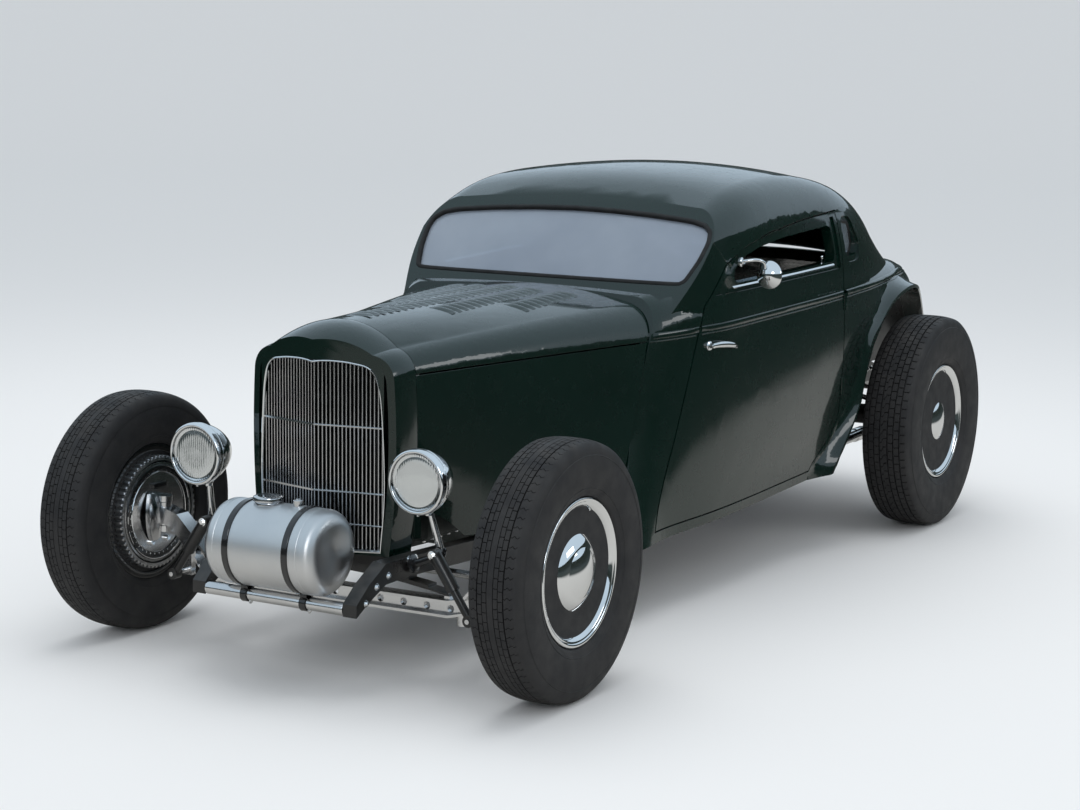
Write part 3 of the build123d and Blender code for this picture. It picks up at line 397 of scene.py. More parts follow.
# A Principled material whose colour (tone), roughness (roughTone) and bump (grain, cells or weave) come from
# patterns in the object's own metres, at that many per metre. spun is the (y, z) of a line along X that the
# turning marks run round, in metres.
def surface(name, color, other, tone=5.0, rough=0.4, spread=0.05, roughTone=22.0, metallic=0.0, grain=0.0,
            cells=0.0, weave=0.0, depth=0.0, stretch=(1, 1, 1), spun=None, coat=0.0, coatRough=0.02,
            specular=0.5, ior=1.45, transmission=0.0, dust=0.0, sheen=0.0, aniso=0.0):
    m, n, l, shader = newMaterial(name)
    put = shader.inputs
    place = n.new("ShaderNodeTexCoord").outputs["Object"]

    def vector(operation, given, by=(0, 0, 0)):
        v = n.new("ShaderNodeVectorMath")
        v.operation = operation
        v.inputs[1].default_value = by
        l.new(given, v.inputs[0])
        return v

    if spun:
        shift = vector("SUBTRACT", place, (0, *spun))
        flat = vector("MULTIPLY", shift.outputs[0], (0, 1, 1))
        parts, ring = n.new("ShaderNodeSeparateXYZ"), n.new("ShaderNodeCombineXYZ")
        l.new(shift.outputs[0], parts.inputs[0])
        l.new(parts.outputs["X"], ring.inputs["X"])
        l.new(vector("LENGTH", flat.outputs[0]).outputs["Value"], ring.inputs["Y"])
        marks = ring.outputs[0]
        turned = vector("CROSS_PRODUCT", flat.outputs[0], (-1, 0, 0))  # the way round the line
        l.new(turned.outputs[0], put["Tangent"])
    else:
        mapping = n.new("ShaderNodeMapping")
        mapping.inputs["Scale"].default_value = stretch
        l.new(place, mapping.inputs["Vector"])
        marks = mapping.outputs[0]

    def noise(vector, scale, detail=4.0, roughness=0.55):
        t = n.new("ShaderNodeTexNoise")
        t.inputs["Scale"].default_value, t.inputs["Detail"].default_value = scale, detail
        t.inputs["Roughness"].default_value = roughness
        l.new(vector, t.inputs["Vector"])
        return t.outputs["Fac"]

    def mix(factor, a, b):
        x = n.new("ShaderNodeMix")
        x.data_type = "RGBA"
        l.new(factor, x.inputs["Factor"])
        for socket, value in ((x.inputs[6], a), (x.inputs[7], b)):
            if isinstance(value, tuple):
                socket.default_value = value
            else:
                l.new(value, socket)
        return x.outputs[2]

    def span(value, low, high, fromLow=0.0, fromHigh=1.0):
        r = n.new("ShaderNodeMapRange")
        for key, number in (("From Min", fromLow), ("From Max", fromHigh), ("To Min", low),
                            ("To Max", high)):
            r.inputs[key].default_value = number
        l.new(value, r.inputs["Value"])
        return r.outputs["Result"]

    tint = mix(span(noise(place, tone), 0, 1, 0.3, 0.7), color, other)
    roughness = span(noise(marks, roughTone), rough - spread, rough + spread, 0.3, 0.7)
    if dust:  # it lies on faces that look up
        facing, split = n.new("ShaderNodeNewGeometry"), n.new("ShaderNodeSeparateXYZ")
        l.new(facing.outputs["Normal"], split.inputs[0])
        top = span(split.outputs["Z"], 0.0, 1.0, 0.1, 0.95)
        amount = n.new("ShaderNodeMath")
        amount.operation = "MULTIPLY"
        l.new(top, amount.inputs[0])
        l.new(span(noise(place, 14.0), 0.0, dust, 0.35, 0.75), amount.inputs[1])
        tint = mix(amount.outputs[0], tint, dustColor)
    l.new(tint, put["Base Color"])
    l.new(roughness, put["Roughness"])
    height = None
    if grain:
        height = noise(marks, grain, 3.0)
    if cells:
        c = n.new("ShaderNodeTexVoronoi")
        c.inputs["Scale"].default_value = cells
        l.new(place, c.inputs["Vector"])
        height = c.outputs["Distance"]
    if weave:
        w = n.new("ShaderNodeTexWave")
        w.inputs["Scale"].default_value = weave
        w.inputs["Distortion"].default_value = 1.5
        l.new(place, w.inputs["Vector"])
        height = w.outputs["Fac"]
    if height is not None:
        b = n.new("ShaderNodeBump")
        b.inputs["Distance"].default_value = depth
        b.inputs["Strength"].default_value = 1.0
        l.new(height, b.inputs["Height"])
        l.new(b.outputs[0], put["Normal"])
    put["Metallic"].default_value, put["Specular IOR Level"].default_value = metallic, specular
    put["IOR"].default_value, put["Transmission Weight"].default_value = ior, transmission
    put["Coat Weight"].default_value, put["Coat Roughness"].default_value = coat, coatRough
    put["Sheen Weight"].default_value, put["Anisotropic"].default_value = sheen, aniso
    return m


finishes = {
    "paint": surface("body_paint", (0.0012, 0.0092, 0.0062, 1), (0.0018, 0.0120, 0.0082, 1), tone=2.2,
                     rough=0.26, spread=0.03, coat=1.0, coatRough=0.045, specular=0.18),
    "black": surface("black_paint", (0.006, 0.006, 0.0065, 1), (0.010, 0.010, 0.011, 1), rough=0.22,
                     spread=0.05, coat=0.7, coatRough=0.05, grain=300, depth=0.00002, dust=0.06),
    "chassis": surface("chassis_paint", (0.008, 0.008, 0.0085, 1), (0.016, 0.015, 0.014, 1), tone=9,
                       rough=0.34, spread=0.08, coat=0.35, coatRough=0.12, grain=220, depth=0.00005,
                       dust=0.16),
    "chrome": surface("chrome", (0.80, 0.81, 0.82, 1), (0.86, 0.87, 0.88, 1), tone=7, rough=0.045,
                      spread=0.02, metallic=1.0, grain=90, depth=0.000006),
    "steel": surface("polished_steel", (0.62, 0.62, 0.63, 1), (0.72, 0.72, 0.72, 1), tone=11, rough=0.17,
                     spread=0.06, metallic=1.0, grain=520, depth=0.00003, stretch=(0.12, 1, 1)),
    "aluminium": surface("spun_aluminium", (0.66, 0.67, 0.68, 1), (0.73, 0.73, 0.73, 1), tone=6, rough=0.32,
                         spread=0.025, roughTone=500, metallic=0.97, grain=900, depth=0.000004,
                         spun=(-1.825, 0.391), aniso=0.8),
    "cast": surface("drum_aluminium", (0.42, 0.42, 0.43, 1), (0.56, 0.56, 0.56, 1), tone=24, rough=0.38,
                    spread=0.10, metallic=1.0, grain=700, depth=0.00012),
    "rubber": surface("tyre_rubber", (0.017, 0.017, 0.018, 1), (0.027, 0.026, 0.026, 1), tone=16, rough=0.62,
                      spread=0.10, grain=900, depth=0.00010, dust=0.10, specular=0.35),
    "wheelPaint": surface("wheel_paint", (0.0055, 0.0055, 0.006, 1), (0.009, 0.009, 0.0095, 1), rough=0.20,
                          spread=0.05, coat=0.8, coatRough=0.04, grain=240, depth=0.00002, dust=0.05),
    "screenGlass": surface("windscreen_glass", (0.30, 0.36, 0.46, 1), (0.50, 0.57, 0.66, 1), tone=1.5,
                           stretch=(1, 1, 0.2), rough=0.03, spread=0.005, transmission=0.50, ior=1.5,
                           coat=1.0, coatRough=0.02),
    "glass": surface("body_glass", (0.42, 0.50, 0.56, 1), (0.50, 0.58, 0.64, 1), rough=0.02, spread=0.004,
                     transmission=0.8, ior=1.5, coat=0.6, coatRough=0.015),
    "lens": surface("lens_glass", (0.95, 0.96, 0.96, 1), (0.97, 0.98, 0.98, 1), rough=0.015, spread=0.008,
                    transmission=1.0, ior=1.42, weave=41, depth=0.00035),
    "red": surface("red_lens", (0.30, 0.006, 0.006, 1), (0.42, 0.012, 0.010, 1), tone=40, rough=0.10,
                   spread=0.03, coat=0.8, cells=240, depth=0.0004, transmission=0.35),
    "iron": surface("engine_iron", (0.014, 0.022, 0.019, 1), (0.030, 0.036, 0.032, 1), tone=14, rough=0.46,
                    spread=0.10, grain=160, depth=0.00025, dust=0.15, coat=0.2, coatRough=0.2),
    "leather": surface("seat_leather", (0.10, 0.052, 0.030, 1), (0.135, 0.074, 0.044, 1), tone=9, rough=0.42,
                       spread=0.08, cells=420, depth=0.00018, coat=0.08, coatRough=0.3, sheen=0.08),
    "plastic": surface("wheel_rim_plastic", (0.62, 0.59, 0.52, 1), (0.70, 0.67, 0.60, 1), tone=12,
                       rough=0.20, spread=0.05, coat=0.5, coatRough=0.05, grain=180, depth=0.00003),
    "headliner": surface("headliner_cloth", (0.20, 0.19, 0.17, 1), (0.26, 0.25, 0.22, 1), tone=160,
                         rough=0.9, spread=0.04, weave=110, depth=0.0002, sheen=0.3),
    "carpet": surface("cabin_carpet", (0.012, 0.012, 0.013, 1), (0.035, 0.034, 0.033, 1), tone=420,
                      rough=0.92, spread=0.05, grain=1400, depth=0.0009, sheen=0.25, specular=0.2),
    "seal": surface("rubber_seal", (0.012, 0.012, 0.012, 1), (0.020, 0.020, 0.020, 1), tone=30, rough=0.55,
                    spread=0.08, grain=500, depth=0.00006, specular=0.3),
    "dark": surface("core_black", (0.004, 0.004, 0.004, 1), (0.010, 0.010, 0.010, 1), tone=60, rough=0.75,
                    spread=0.08, grain=420, depth=0.0004, specular=0.2),
    "mirrorGlass": surface("mirror_glass", (0.86, 0.87, 0.88, 1), (0.90, 0.91, 0.92, 1), rough=0.015,
                           spread=0.008, metallic=1.0),
    "dial": surface("dial_face", (0.72, 0.71, 0.66, 1), (0.80, 0.79, 0.74, 1), tone=30, rough=0.45,
                    grain=300, depth=0.00002),
}
slotFinish = {"body_paint": "paint", "black_paint": "chassis", "chrome": "chrome", "polished_steel": "steel",
              "spun_aluminium": "aluminium", "drum_aluminium": "cast", "tyre_rubber": "rubber",
              "wheel_paint": "wheelPaint",
              "window_glass": "glass", "lens_glass": "lens", "red_lens": "red", "engine_iron": "iron",
              "seat_leather": "leather", "wheel_rim_plastic": "plastic"}
for obj in nodes.values():
    for holder in obj.material_slots:
        key = holder.material.name.split(".")[0] if holder.material else ""
        holder.material = finishes[slotFinish.get(key, "chassis")]
print("materials ready:", len(finishes))

# Tyres.
# columns are (from, to, kind, shift) in shares of the tread's half width, the shift in pitches; sipes cut the
# blocks straight and the wavy ribs in a wave
tyreShapes = {
    "front": {"x": 747, "y": 0, "radius": 366, "width": 167, "rim": 203, "pitches": 84, "half": 66,
              "groove": 6.0, "sipe": 2.6,
              "columns": [(0.0, 0.13, "rib", 0.0), (0.13, 0.165, "groove", 0), (0.165, 0.35, "blocks", 0.15),
                          (0.35, 0.385, "groove", 0), (0.385, 0.575, "blocks", 0.38),
                          (0.575, 0.635, "groove", 0), (0.635, 1.0, "wavy", 0.0)]},
    "rear": {"x": 712, "y": 2845, "radius": 400, "width": 193, "rim": 211, "pitches": 78, "half": 80,
             "groove": 7.0, "sipe": 4.2,
             "columns": [(0.0, 0.16, "blocks", 0.0), (0.16, 0.22, "groove", 0), (0.22, 0.44, "blocks", 0.5),
                         (0.44, 0.50, "groove", 0), (0.50, 0.72, "blocks", 0.0), (0.72, 0.79, "groove", 0),
                         (0.79, 1.0, "blocks", 0.45)]},
}


def buildTyre(bm, s):
    w, r, b = s["width"] / 2, s["radius"], s["rim"]
    half, pitches = s["half"], s["pitches"]
    pitch = 2 * pi / pitches
    cut = s["sipe"] / r

    def crown(u):
        share = abs(u) / half
        return r - 0.3 - 7.5 * share ** 3

    right = []
    for start, end, kind, shift in s["columns"]:
        a, z = start * half, end * half
        if kind == "groove":
            right += [(a + 0.5, s["groove"], "floor", 0), (z - 0.5, s["groove"], "floor", 0)]
        else:
            parts = 7 if kind == "wavy" else 2
            right += [(a + (z - a) * k / parts, 0.0, kind, shift) for k in range(parts + 1)]
    left = [(-u, d, k, (shift + 0.5) % 1.0) for u, d, k, shift in right[::-1] if u > 1e-6]
    columns = left + right
    bead = w * 0.72 - 5.3
    side = [(half + 3.0, r - 10.5), (half + 7, r - 15), (w * 0.93, r - 25), (w * 0.955, r - 36),
            (w * 0.958, r - 38.5), (w * 0.978, r - 46), (w * 0.995, r - 62), (w, (r + b) / 2 + 8),
            (w * 0.99, (r + b) / 2 - 14), (w * 0.955, b + 38), (w * 0.90, b + 24), (w * 0.875, b + 20),
            (w * 0.865, b + 15.5), (w * 0.80, b + 9), (bead, b + 4), (bead, b - 11)]
    turns = []
    for k in range(pitches):
        # a sipe's near lip, floor and far lip, then the land's middle
        for phase, deep in ((0.0, 0), (0.35 * cut / pitch, 1), (0.65 * cut / pitch, 1), (cut / pitch, 0),
                            (0.42, 0), (0.72, 0)):
            turns.append((k + phase, deep))
    rings = []
    for place, deep in turns:
        ring = []
        for u, radius in side[::-1]:
            ring.append(Vector((-u, 0, radius)))
        turnsAt = [place] * len(ring)
        for u, low, kind, shift in columns:
            wave = 0.11 * sin(abs(u) / half * 30) * (1 if kind == "wavy" else 0)
            radius = crown(u) - low
            if kind == "blocks" and deep:
                radius -= s["groove"] * 0.8
            if kind == "wavy" and deep:
                share = (abs(u) / half - 0.635) / 0.365
                radius -= s["groove"] * 0.75 * max(0.0, min(1.0, (0.93 - share) * 8))
            ring.append(Vector((u, 0, radius)))
            turnsAt.append(place + shift + wave)
        for u, radius in side:
            ring.append(Vector((u, 0, radius)))
            turnsAt.append(place)
        rings.append([Vector((s["x"] + p.x, s["y"] - sin(t * pitch) * p.z, r + cos(t * pitch) * p.z))
                      for p, t in zip(ring, turnsAt)])
    loft(bm, rings, 0, wrap=False, closed=True)
    # the inside, so that the tyre is a closed shell
    lathe(bm, [(-bead, b - 11), (-bead + 10, b - 11), (-w * 0.82, (r + b) / 2), (-w * 0.6, r - 24),
               (w * 0.6, r - 24), (w * 0.82, (r + b) / 2), (bead - 10, b - 11), (bead, b - 11)],
          (s["x"], s["y"], r), steps=64)
    # fine rings moulded in the sidewall
    for u, radius in ((w * 0.972, r - 42), (w * 0.93, b + 31)):
        for sign in (1, -1):
            lathe(bm, [(sign * u - 1.2, radius - 2), (sign * u + sign * 1.1, radius),
                       (sign * u - 1.2, radius + 2)], (s["x"], s["y"], r), steps=120, closed=True)


for place, shape in tyreShapes.items():
    bothSides(lambda bm: buildTyre(bm, shape), "tyreTread_" + place, ("rubber",), "tyre_rubber",
              pair("wheel_" + place), pair("tyre_" + place), smooth=38, weld=0.02)
print("tyres ready")

# Wheels, trim rings and caps.
wheelShapes = {
    "front": {"x": 747, "y": 0, "z": 366, "width": 167, "rim": 203, "face": 769, "cap": 126.0, "dome": 46.8},
    "rear": {"x": 712, "y": 2845, "z": 400, "width": 193, "rim": 211, "face": 726, "cap": 126.0,
             "dome": 46.8},
}


def buildWheel(bm, s):
    w, b, f, x = s["width"] / 2 * 0.72, s["rim"], s["face"], s["x"]
    centre = (0, s["y"], s["z"])
    outer = [(x - w, b + 4), (x - w + 2, b + 6), (x - w + 5, b + 4), (x - w + 5, b - 12),
             (x - w * 0.6, b - 13), (x - w * 0.48, b - 32), (x + w * 0.38, b - 32), (x + w * 0.5, b - 13),
             (x + w - 5, b - 12), (x + w - 5, b + 4), (x + w - 2, b + 6), (x + w, b + 4)]
    inner = [(x + w, b - 17), (x + w * 0.43, b - 18), (x + w * 0.31, b - 37), (x - w * 0.42, b - 37),
             (x - w * 0.52, b - 18), (x - w, b - 18)]
    lathe(bm, rounded(outer + inner, 0.22, 2), centre, steps=96, closed=True)
    disc = [(f - 60, 17.2), (f - 60, 33), (f - 22, 40), (f - 14, 76), (f - 1, 96), (f + 6, 108),
            (f + 4, 128), (f - 9, b - 40), (f - 16, b - 35), (f - 9, b - 33), (f + 1, b - 40), (f + 11, 134),
            (f + 13, 112), (f + 9, 98), (f - 3, 76), (f - 3, 17.2)]
    lathe(bm, rounded(disc, 0.3, 3), centre, steps=96, closed=True)
    for k in range(5):
        t = 2 * pi * k / 5
        bolt(bm, (f - 3, s["y"] + 57 * cos(t), s["z"] + 57 * sin(t)), (1, 0, 0), 10, 9, 1)
    # a rolled bead round the disc and the valve's rubber seat
    lathe(bm, [(f + 9.6, 137), (f + 11.6, 140), (f + 9.0, 143), (f + 7.0, 140)], centre, steps=96,
          closed=True)
    valve = Vector((f + 4, s["y"] + (b - 27) * sin(0.35), s["z"] + (b - 27) * cos(0.35)))
    lathe(bm, [(0, 0), (0, 6.5), (6, 6), (9, 4.2), (9, 0)], valve, (1, 0, 0), 16, 2)
    lathe(bm, [(8, 0), (8, 2.7), (24, 2.7), (25, 3.8), (33, 3.8), (34, 2.6), (34, 0)], valve, (1, 0, 0), 16,
          1)


def buildBright(bm, s):
    b = s["rim"]
    e = s["x"] + s["width"] / 2 * 0.72 + 0.3
    d = s["face"] + 13.3
    centre = (0, s["y"], s["z"])
    ring = [(e, b + 3), (e + 3, b + 5), (e + 7, b + 3.5), (e + 8, b), (e + 6.4, b - 6), (e + 4.5, b - 8),
            (e + 3.2, b - 14), (e - 3, b - 21), (e - 18, b - 32), (e - 31, b - 42), (e - 37, b - 46),
            (e - 39, b - 43.5), (e - 33, b - 38), (e - 19, b - 27), (e - 5, b - 16), (e, b - 11)]
    lathe(bm, rounded(ring, 0.3, 2), centre, steps=128, closed=True)
    c = s["cap"]
    cap = [(d, c), (d + 1.5, c), (d + 3.5, c - 1), (d + 5, c - 4), (d + 5.2, c - 8)]
    base, dome = c - 8, s["dome"]  # the cap's middle is part of a ball
    ball = (base ** 2 + dome ** 2) / (2 * dome)
    for k in range(1, 19):
        r = base * (1 - k / 18)
        cap.append((d + 5.2 + sqrt(ball ** 2 - r * r) - ball + dome, r))
    lathe(bm, cap, centre, steps=128)
    lathe(bm, [(d, c), (d, c - 5), (d + 20, c * 0.84), (d + 36, c * 0.6), (d + 47, 0)], centre, steps=64)


for place, shape in wheelShapes.items():
    wheels = pair("wheel_" + place)
    bothSides(lambda bm: buildWheel(bm, shape), "steelWheel_" + place, ("wheelPaint", "chrome", "seal"),
              "wheel_paint", wheels, wheels)
    bothSides(lambda bm: buildBright(bm, shape), "trimRing_" + place, ("chrome",), "chrome", wheels,
              pair("brightwork_" + place), smooth=40)

# Brake drums, backing plates and scoops.
drumShape = {"y": 0, "z": 366, "bandStart": 664, "bandEnd": 712, "bandRadius": 174, "bandBore": 158,
             "ribs": 60, "ribDepth": 7.5,
             "radius": 150, "wall": 16, "end": 756.7, "rearStart": 620, "rearEnd": 713.7, "rearY": 2845,
             "rearZ": 400, "plate": 667, "plateRadius": 152,
             "vents": 40}


# the ring of cooling ribs, open at both ends
def buildFins(bm):
    d = drumShape
    steps = d["ribs"] * 6
    start, end, tip, root = d["bandStart"], d["bandEnd"], d["bandRadius"], d["bandRadius"] - d["ribDepth"]

    def ring(x, radii):
        turns = [2 * pi * i / steps for i in range(steps)]
        return [Vector((x, d["y"] + r * cos(t), d["z"] + r * sin(t))) for r, t in zip(radii, turns)]

    rings = []
    for x, drop in ((start, 5), (start + 2, 1.2), (start + 4, 0), (end - 4, 0), (end - 2, 1.2), (end, 5)):
        rings.append(ring(x, [root if i % 6 in (0, 4, 5) else tip - drop for i in range(steps)]))
    rings += [ring(x, [d["bandBore"]] * steps) for x in (end, start)]
    loft(bm, rings, 0, closed=True)


def buildDrum(bm, x0, x1, y, z):
    r, w = drumShape["radius"], drumShape["wall"]
    shape = [(x0, r - 8), (x0, r - 1.5), (x0 + 1.5, r), (x0 + 20, r), (x0 + 21, r - 1.5), (x0 + 23, r - 1.5),
             (x0 + 24, r), (x1 - 7, r), (x1 - 2, r - 2), (x1, r - 7), (x1, 80), (x1 - 3, 76), (x1 - 3, 40),
             (x1 - 14, 40), (x1 - 14, r - w), (x0, r - w)]
    lathe(bm, shape, (0, y, z), (1, 0, 0), 96, 0, closed=True)


# backing plate with a slotted vent ring, a raised middle and bolts; its air scoop is made by buildScoop
def buildBacking(bm, x0, y, z, radius):
    centre = (x0, y, z)
    lathe(bm, [(0, 34), (0, 78), (4, 86), (4, radius - 34), (-2, radius - 28), (-3, radius - 8),
               (1, radius - 2), (5, radius - 2), (5, radius - 10), (6, 34)], centre, (1, 0, 0), 96, 0,
          closed=True)
    for edge, way in ((radius - 27, -1), (radius - 10, 1)):  # the vent ring's two beads
        bead = [(-5.2, edge), (-4.8, edge + 2 * way), (-3.0, edge + way), (-3.0, edge - way)]
        lathe(bm, bead, centre, (1, 0, 0), 96, 1, closed=True)
    facing = Matrix(((0, 0, -1, 0), (0, 1, 0, 0), (1, 0, 0, 0), (0, 0, 0, 1)))
    low, high = radius - 26, radius - 11
    for k in range(drumShape["vents"]):
        turn = Matrix.Rotation(2 * pi * k / drumShape["vents"], 4, "X")
        place = Matrix.Translation((x0 - 2.4, y, z)) @ turn @ facing
        plate(bm, [(low, -1.8), (high, -1.8), (high, 1.8), (low, 1.8)], place, 2.4, 1, 0.4)
    for k in range(4):
        t = pi / 4 + pi / 2 * k
        bolt(bm, (x0 - 1, y + 58 * cos(t), z + 58 * sin(t)), (-1, 0, 0), 7, 6, 1)
    # wheel cylinder and adjuster
    block(bm, (x0 - 12, y - 30, z + 74), (x0, y + 30, z + 92), 0, 4)
    for sign in (-1, 1):
        lathe(bm, [(0, 0), (0, 9), (10, 9), (12, 7), (12, 0)], (x0, y + sign * 36, z - 88), (-1, 0, 0), 20,
              1)


# a polished air scoop curving down the front of the backing plate
def buildScoop(bm, x0, y, z):
    line, sizes = [], []
    for k in range(15):
        t = k / 14
        aside = 84 * cos(radians(12 + 62 * t)) * (0.45 + 0.55 * t)
        line.append(Vector((x0 - 10 - 12 * sin(t * pi), y - aside, z + 60 - 132 * t)))
        sizes.append(0.5 + 0.75 * sin(pi * (0.12 + 0.6 * t)))
    outline = [(-22, -8), (-20, 4), (-8, 12), (8, 12), (20, 4), (22, -8), (17, -8), (15, 1), (6, 8), (-6, 8),
               (-15, 1), (-17, -8)]
    sweep(bm, line, outline, 0, (-1, 0, 0), scale=sizes)
    for k in (0, 14):
        bolt(bm, line[k] + Vector((-2, 0, 0)), (-1, 0, 0), 5, 4, 0)


d = drumShape
frontWheels, frontDrums, knuckles = pair("wheel_front"), pair("drum_front"), pair("knuckle")
bothSides(buildFins, "coolingFins", ("cast",), "drum_aluminium", frontWheels, frontDrums)
bothSides(lambda bm: buildDrum(bm, d["bandEnd"] - 1, d["end"], d["y"], d["z"]), "brakeDrum_front", ("cast",),
          "drum_aluminium", frontWheels, frontDrums)
bothSides(lambda bm: buildDrum(bm, d["rearStart"], d["rearEnd"], d["rearY"], d["rearZ"]), "brakeDrum_rear",
          ("cast",), "drum_aluminium", pair("wheel_rear"))
bothSides(lambda bm: buildBacking(bm, d["plate"], d["y"], d["z"], d["plateRadius"]), "backingPlate",
          ("black", "chrome"), "black_paint", knuckles)
bothSides(lambda bm: buildScoop(bm, d["plate"], d["y"], d["z"]), "airScoop", ("steel",), "polished_steel",
          knuckles)
print("wheels and drums ready")

# Headlamps.
lampShape = {"x": 386, "y": -165, "z": 597, "radius": 93, "knee": (404, -64, 384)}


def buildLamp(bm):
    s = lampShape
    c, r = (s["x"], s["y"], s["z"]), s["radius"]
    bowl = [(6, r - 3.2), (20, r - 6), (58, r - 13), (95, r - 33), (126, r - 58), (144, r - 80), (148, 0)]
    lathe(bm, smoothLine(bowl, 4), c, (0, 1, 0), 96, 0)
    ring = [(-3, r - 13), (-6, r - 11), (-7, r - 7), (-4.5, r - 2.5), (2, r - 0.4), (9, r), (15, r - 0.6),
            (17, r - 2.4), (19, r - 5), (8, r - 8), (4, r - 12)]
    lathe(bm, rounded(ring, 0.3, 2), c, (0, 1, 0), 128, 0, closed=True)
    lathe(bm, [(19.5, r - 5.4), (21, r - 2.6), (25, r - 2.2), (27, r - 4.5), (27, r - 8)], c, (0, 1, 0), 96,
          0)
    # the reflector and the bulb in its holder
    reflector = [(3, r - 13), (8, r - 16), (28.5, 60), (47, 40), (58.3, 20), (61.2, 9)]
    lathe(bm, smoothLine(reflector, 4), c, (0, 1, 0), 96, 0)
    lathe(bm, [(64, 0), (64, 10), (46, 10), (44, 8), (44, 0)], c, (0, 1, 0), 24, 0)
    lathe(bm, [(44, 5), (36, 9), (28, 9.5), (20, 7), (17, 0)], c, (0, 1, 0), 24, 1)
    # clamp screw under the rim
    lathe(bm, [(0, 0), (0, 4.5), (7, 4.5), (8.4, 3), (8.4, 0)], (s["x"], s["y"] + 10, s["z"] - r + 4),
          (0, 0, -1), 14, 0)


def buildPost(bm):
    s = lampShape
    knee = Vector(s["knee"])
    head = Vector((s["x"], s["y"] + 64, s["z"] - s["radius"] + 14))
    # arm from the frame, with its flange bolted to the rail
    tube(bm, smoothLine([(300, -56, 336), (340, -57, 350), (378, -60, 366), tuple(knee)], 5), 12, 20, 1)
    lathe(bm, [(0, 15), (0, 26), (7, 26), (9, 23), (9, 12)], (302, -56, 337), (1, 0, 0.28), 28, 1)
    lathe(bm, [(-15, 0), (-15, 9), (-10, 14), (0, 16), (10, 14), (15, 9), (15, 0)], knee, (0.2, 0.1, 1), 28,
          1)
    line = smoothLine([tuple(knee), tuple(knee.lerp(head, 0.5)), tuple(head)], 5)
    tube(bm, line, 9.2, 20, 0, scale=[1.25 - 0.32 * i / (len(line) - 1) for i in range(len(line))])
    lathe(bm, [(-16, 0), (-16, 11), (-12, 13.5), (-6, 13.5), (-4, 17), (4, 19), (9, 16), (11, 10), (11, 0)],
          head, (0, 0, 1), 32, 0)
    lathe(bm, [(0, 0), (0, 10.5), (9, 10.5), (10, 8.5), (10, 0)], head + Vector((0, 0, -24)), (0, 0, 1), 6,
          0)
    tube(bm, [tuple(knee), (404, -117, 384)], 7, 16, 0)
    bolt(bm, (404, -113, 384), (0, -1, 0), 8.5, 6, 0)


def buildLens(bm):
    s = lampShape
    c, r = (s["x"], s["y"], s["z"]), s["radius"]
    front = [(-8, 0), (-7.6, 18), (-6.0, 40), (-3.0, 60), (1.5, r - 17), (4, r - 12.6)]
    back = [(9, r - 12.6), (5, r - 19), (-0.5, 60), (-3.4, 40), (-4.8, 18), (-5, 0)]
    lathe(bm, smoothLine(front, 3) + smoothLine(back, 3), c, (0, 1, 0), 96, 0)


bothSides(buildLamp, "headlampBucket", ("chrome", "lens"), "chrome", replaces=("headlamps",) * 2, smooth=40)
bothSides(buildPost, "headlampPost", ("chrome", "black"), "chrome", replaces=("headlamps",) * 2)
bothSides(buildLens, "headlampGlass", ("lens",), "lens_glass", replaces=("headlamp_lenses",) * 2)
print("lamps ready")

# Grille.
mouth = {"half": [(204, 360), (216, 520), (212, 700), (200, 830), (174, 882), (120, 897)], "top": (0, 901)}
grilleNose = {"y": -116, "sideY": -66, "sideX": 232}
grilleBars = {"pitch": 12.0, "eachSide": 17, "shortest": 40, "rods": (430, 523, 712)}
coreShape = {"half": 188, "pitch": 8.0, "tubes": 23, "fins": 64, "foot": 364}


def noseY(x):
    return grilleNose["y"] + abs(x) * (grilleNose["sideY"] - grilleNose["y"]) / grilleNose["sideX"]


# lowest and highest z of the grille opening at x
def mouthSpan(x):
    line = [(0, 360)] + mouth["half"] + [mouth["top"]]
    low, high = 361.5, None
    x = abs(x)
    for (xa, za), (xb, zb) in zip(line, line[1:]):
        if min(xa, xb) <= x <= max(xa, xb) and xa != xb:
            z = za + (zb - za) * (x - xa) / (xb - xa)
            if zb < za or za > 650:
                high = z
            elif za < 650 and xa > 1:
                low = max(low, z)
    return low, high or 895


def buildBars(bm):
    g = grilleBars
    bar = [(-2.0, 0), (-2.3, -4), (-2.1, -9), (2.1, -9), (2.3, -4), (2.0, 0), (1.2, 2.0), (0, 2.7),
           (-1.2, 2.0)]
    rod = [(-3, -2.6), (0.6, -2.6), (2.0, -1.6), (2.4, 0), (2.0, 1.6), (0.6, 2.6), (-3, 2.6)]
    for k in range(-g["eachSide"], g["eachSide"] + 1):
        x = k * g["pitch"]
        low, high = mouthSpan(x)
        y = noseY(x) + 10.4
        if high - low >= g["shortest"]:
            sweep(bm, [(x, y, low - 1), (x, y, high + 2)], bar, 0, (0, -1, 0))
    spans = list(zip(mouth["half"], mouth["half"][1:]))
    for z in g["rods"]:
        (xa, za), (xb, zb) = next(span for span in spans if span[0][1] <= z <= span[1][1])
        far = xa + (xb - xa) * (z - za) / (zb - za)
        for sign in (-1, 1):
            sweep(bm, [(0, noseY(0) + 6.8, z + 2.5), (sign * far, noseY(far) + 6.8, z + 2.5)], rod)


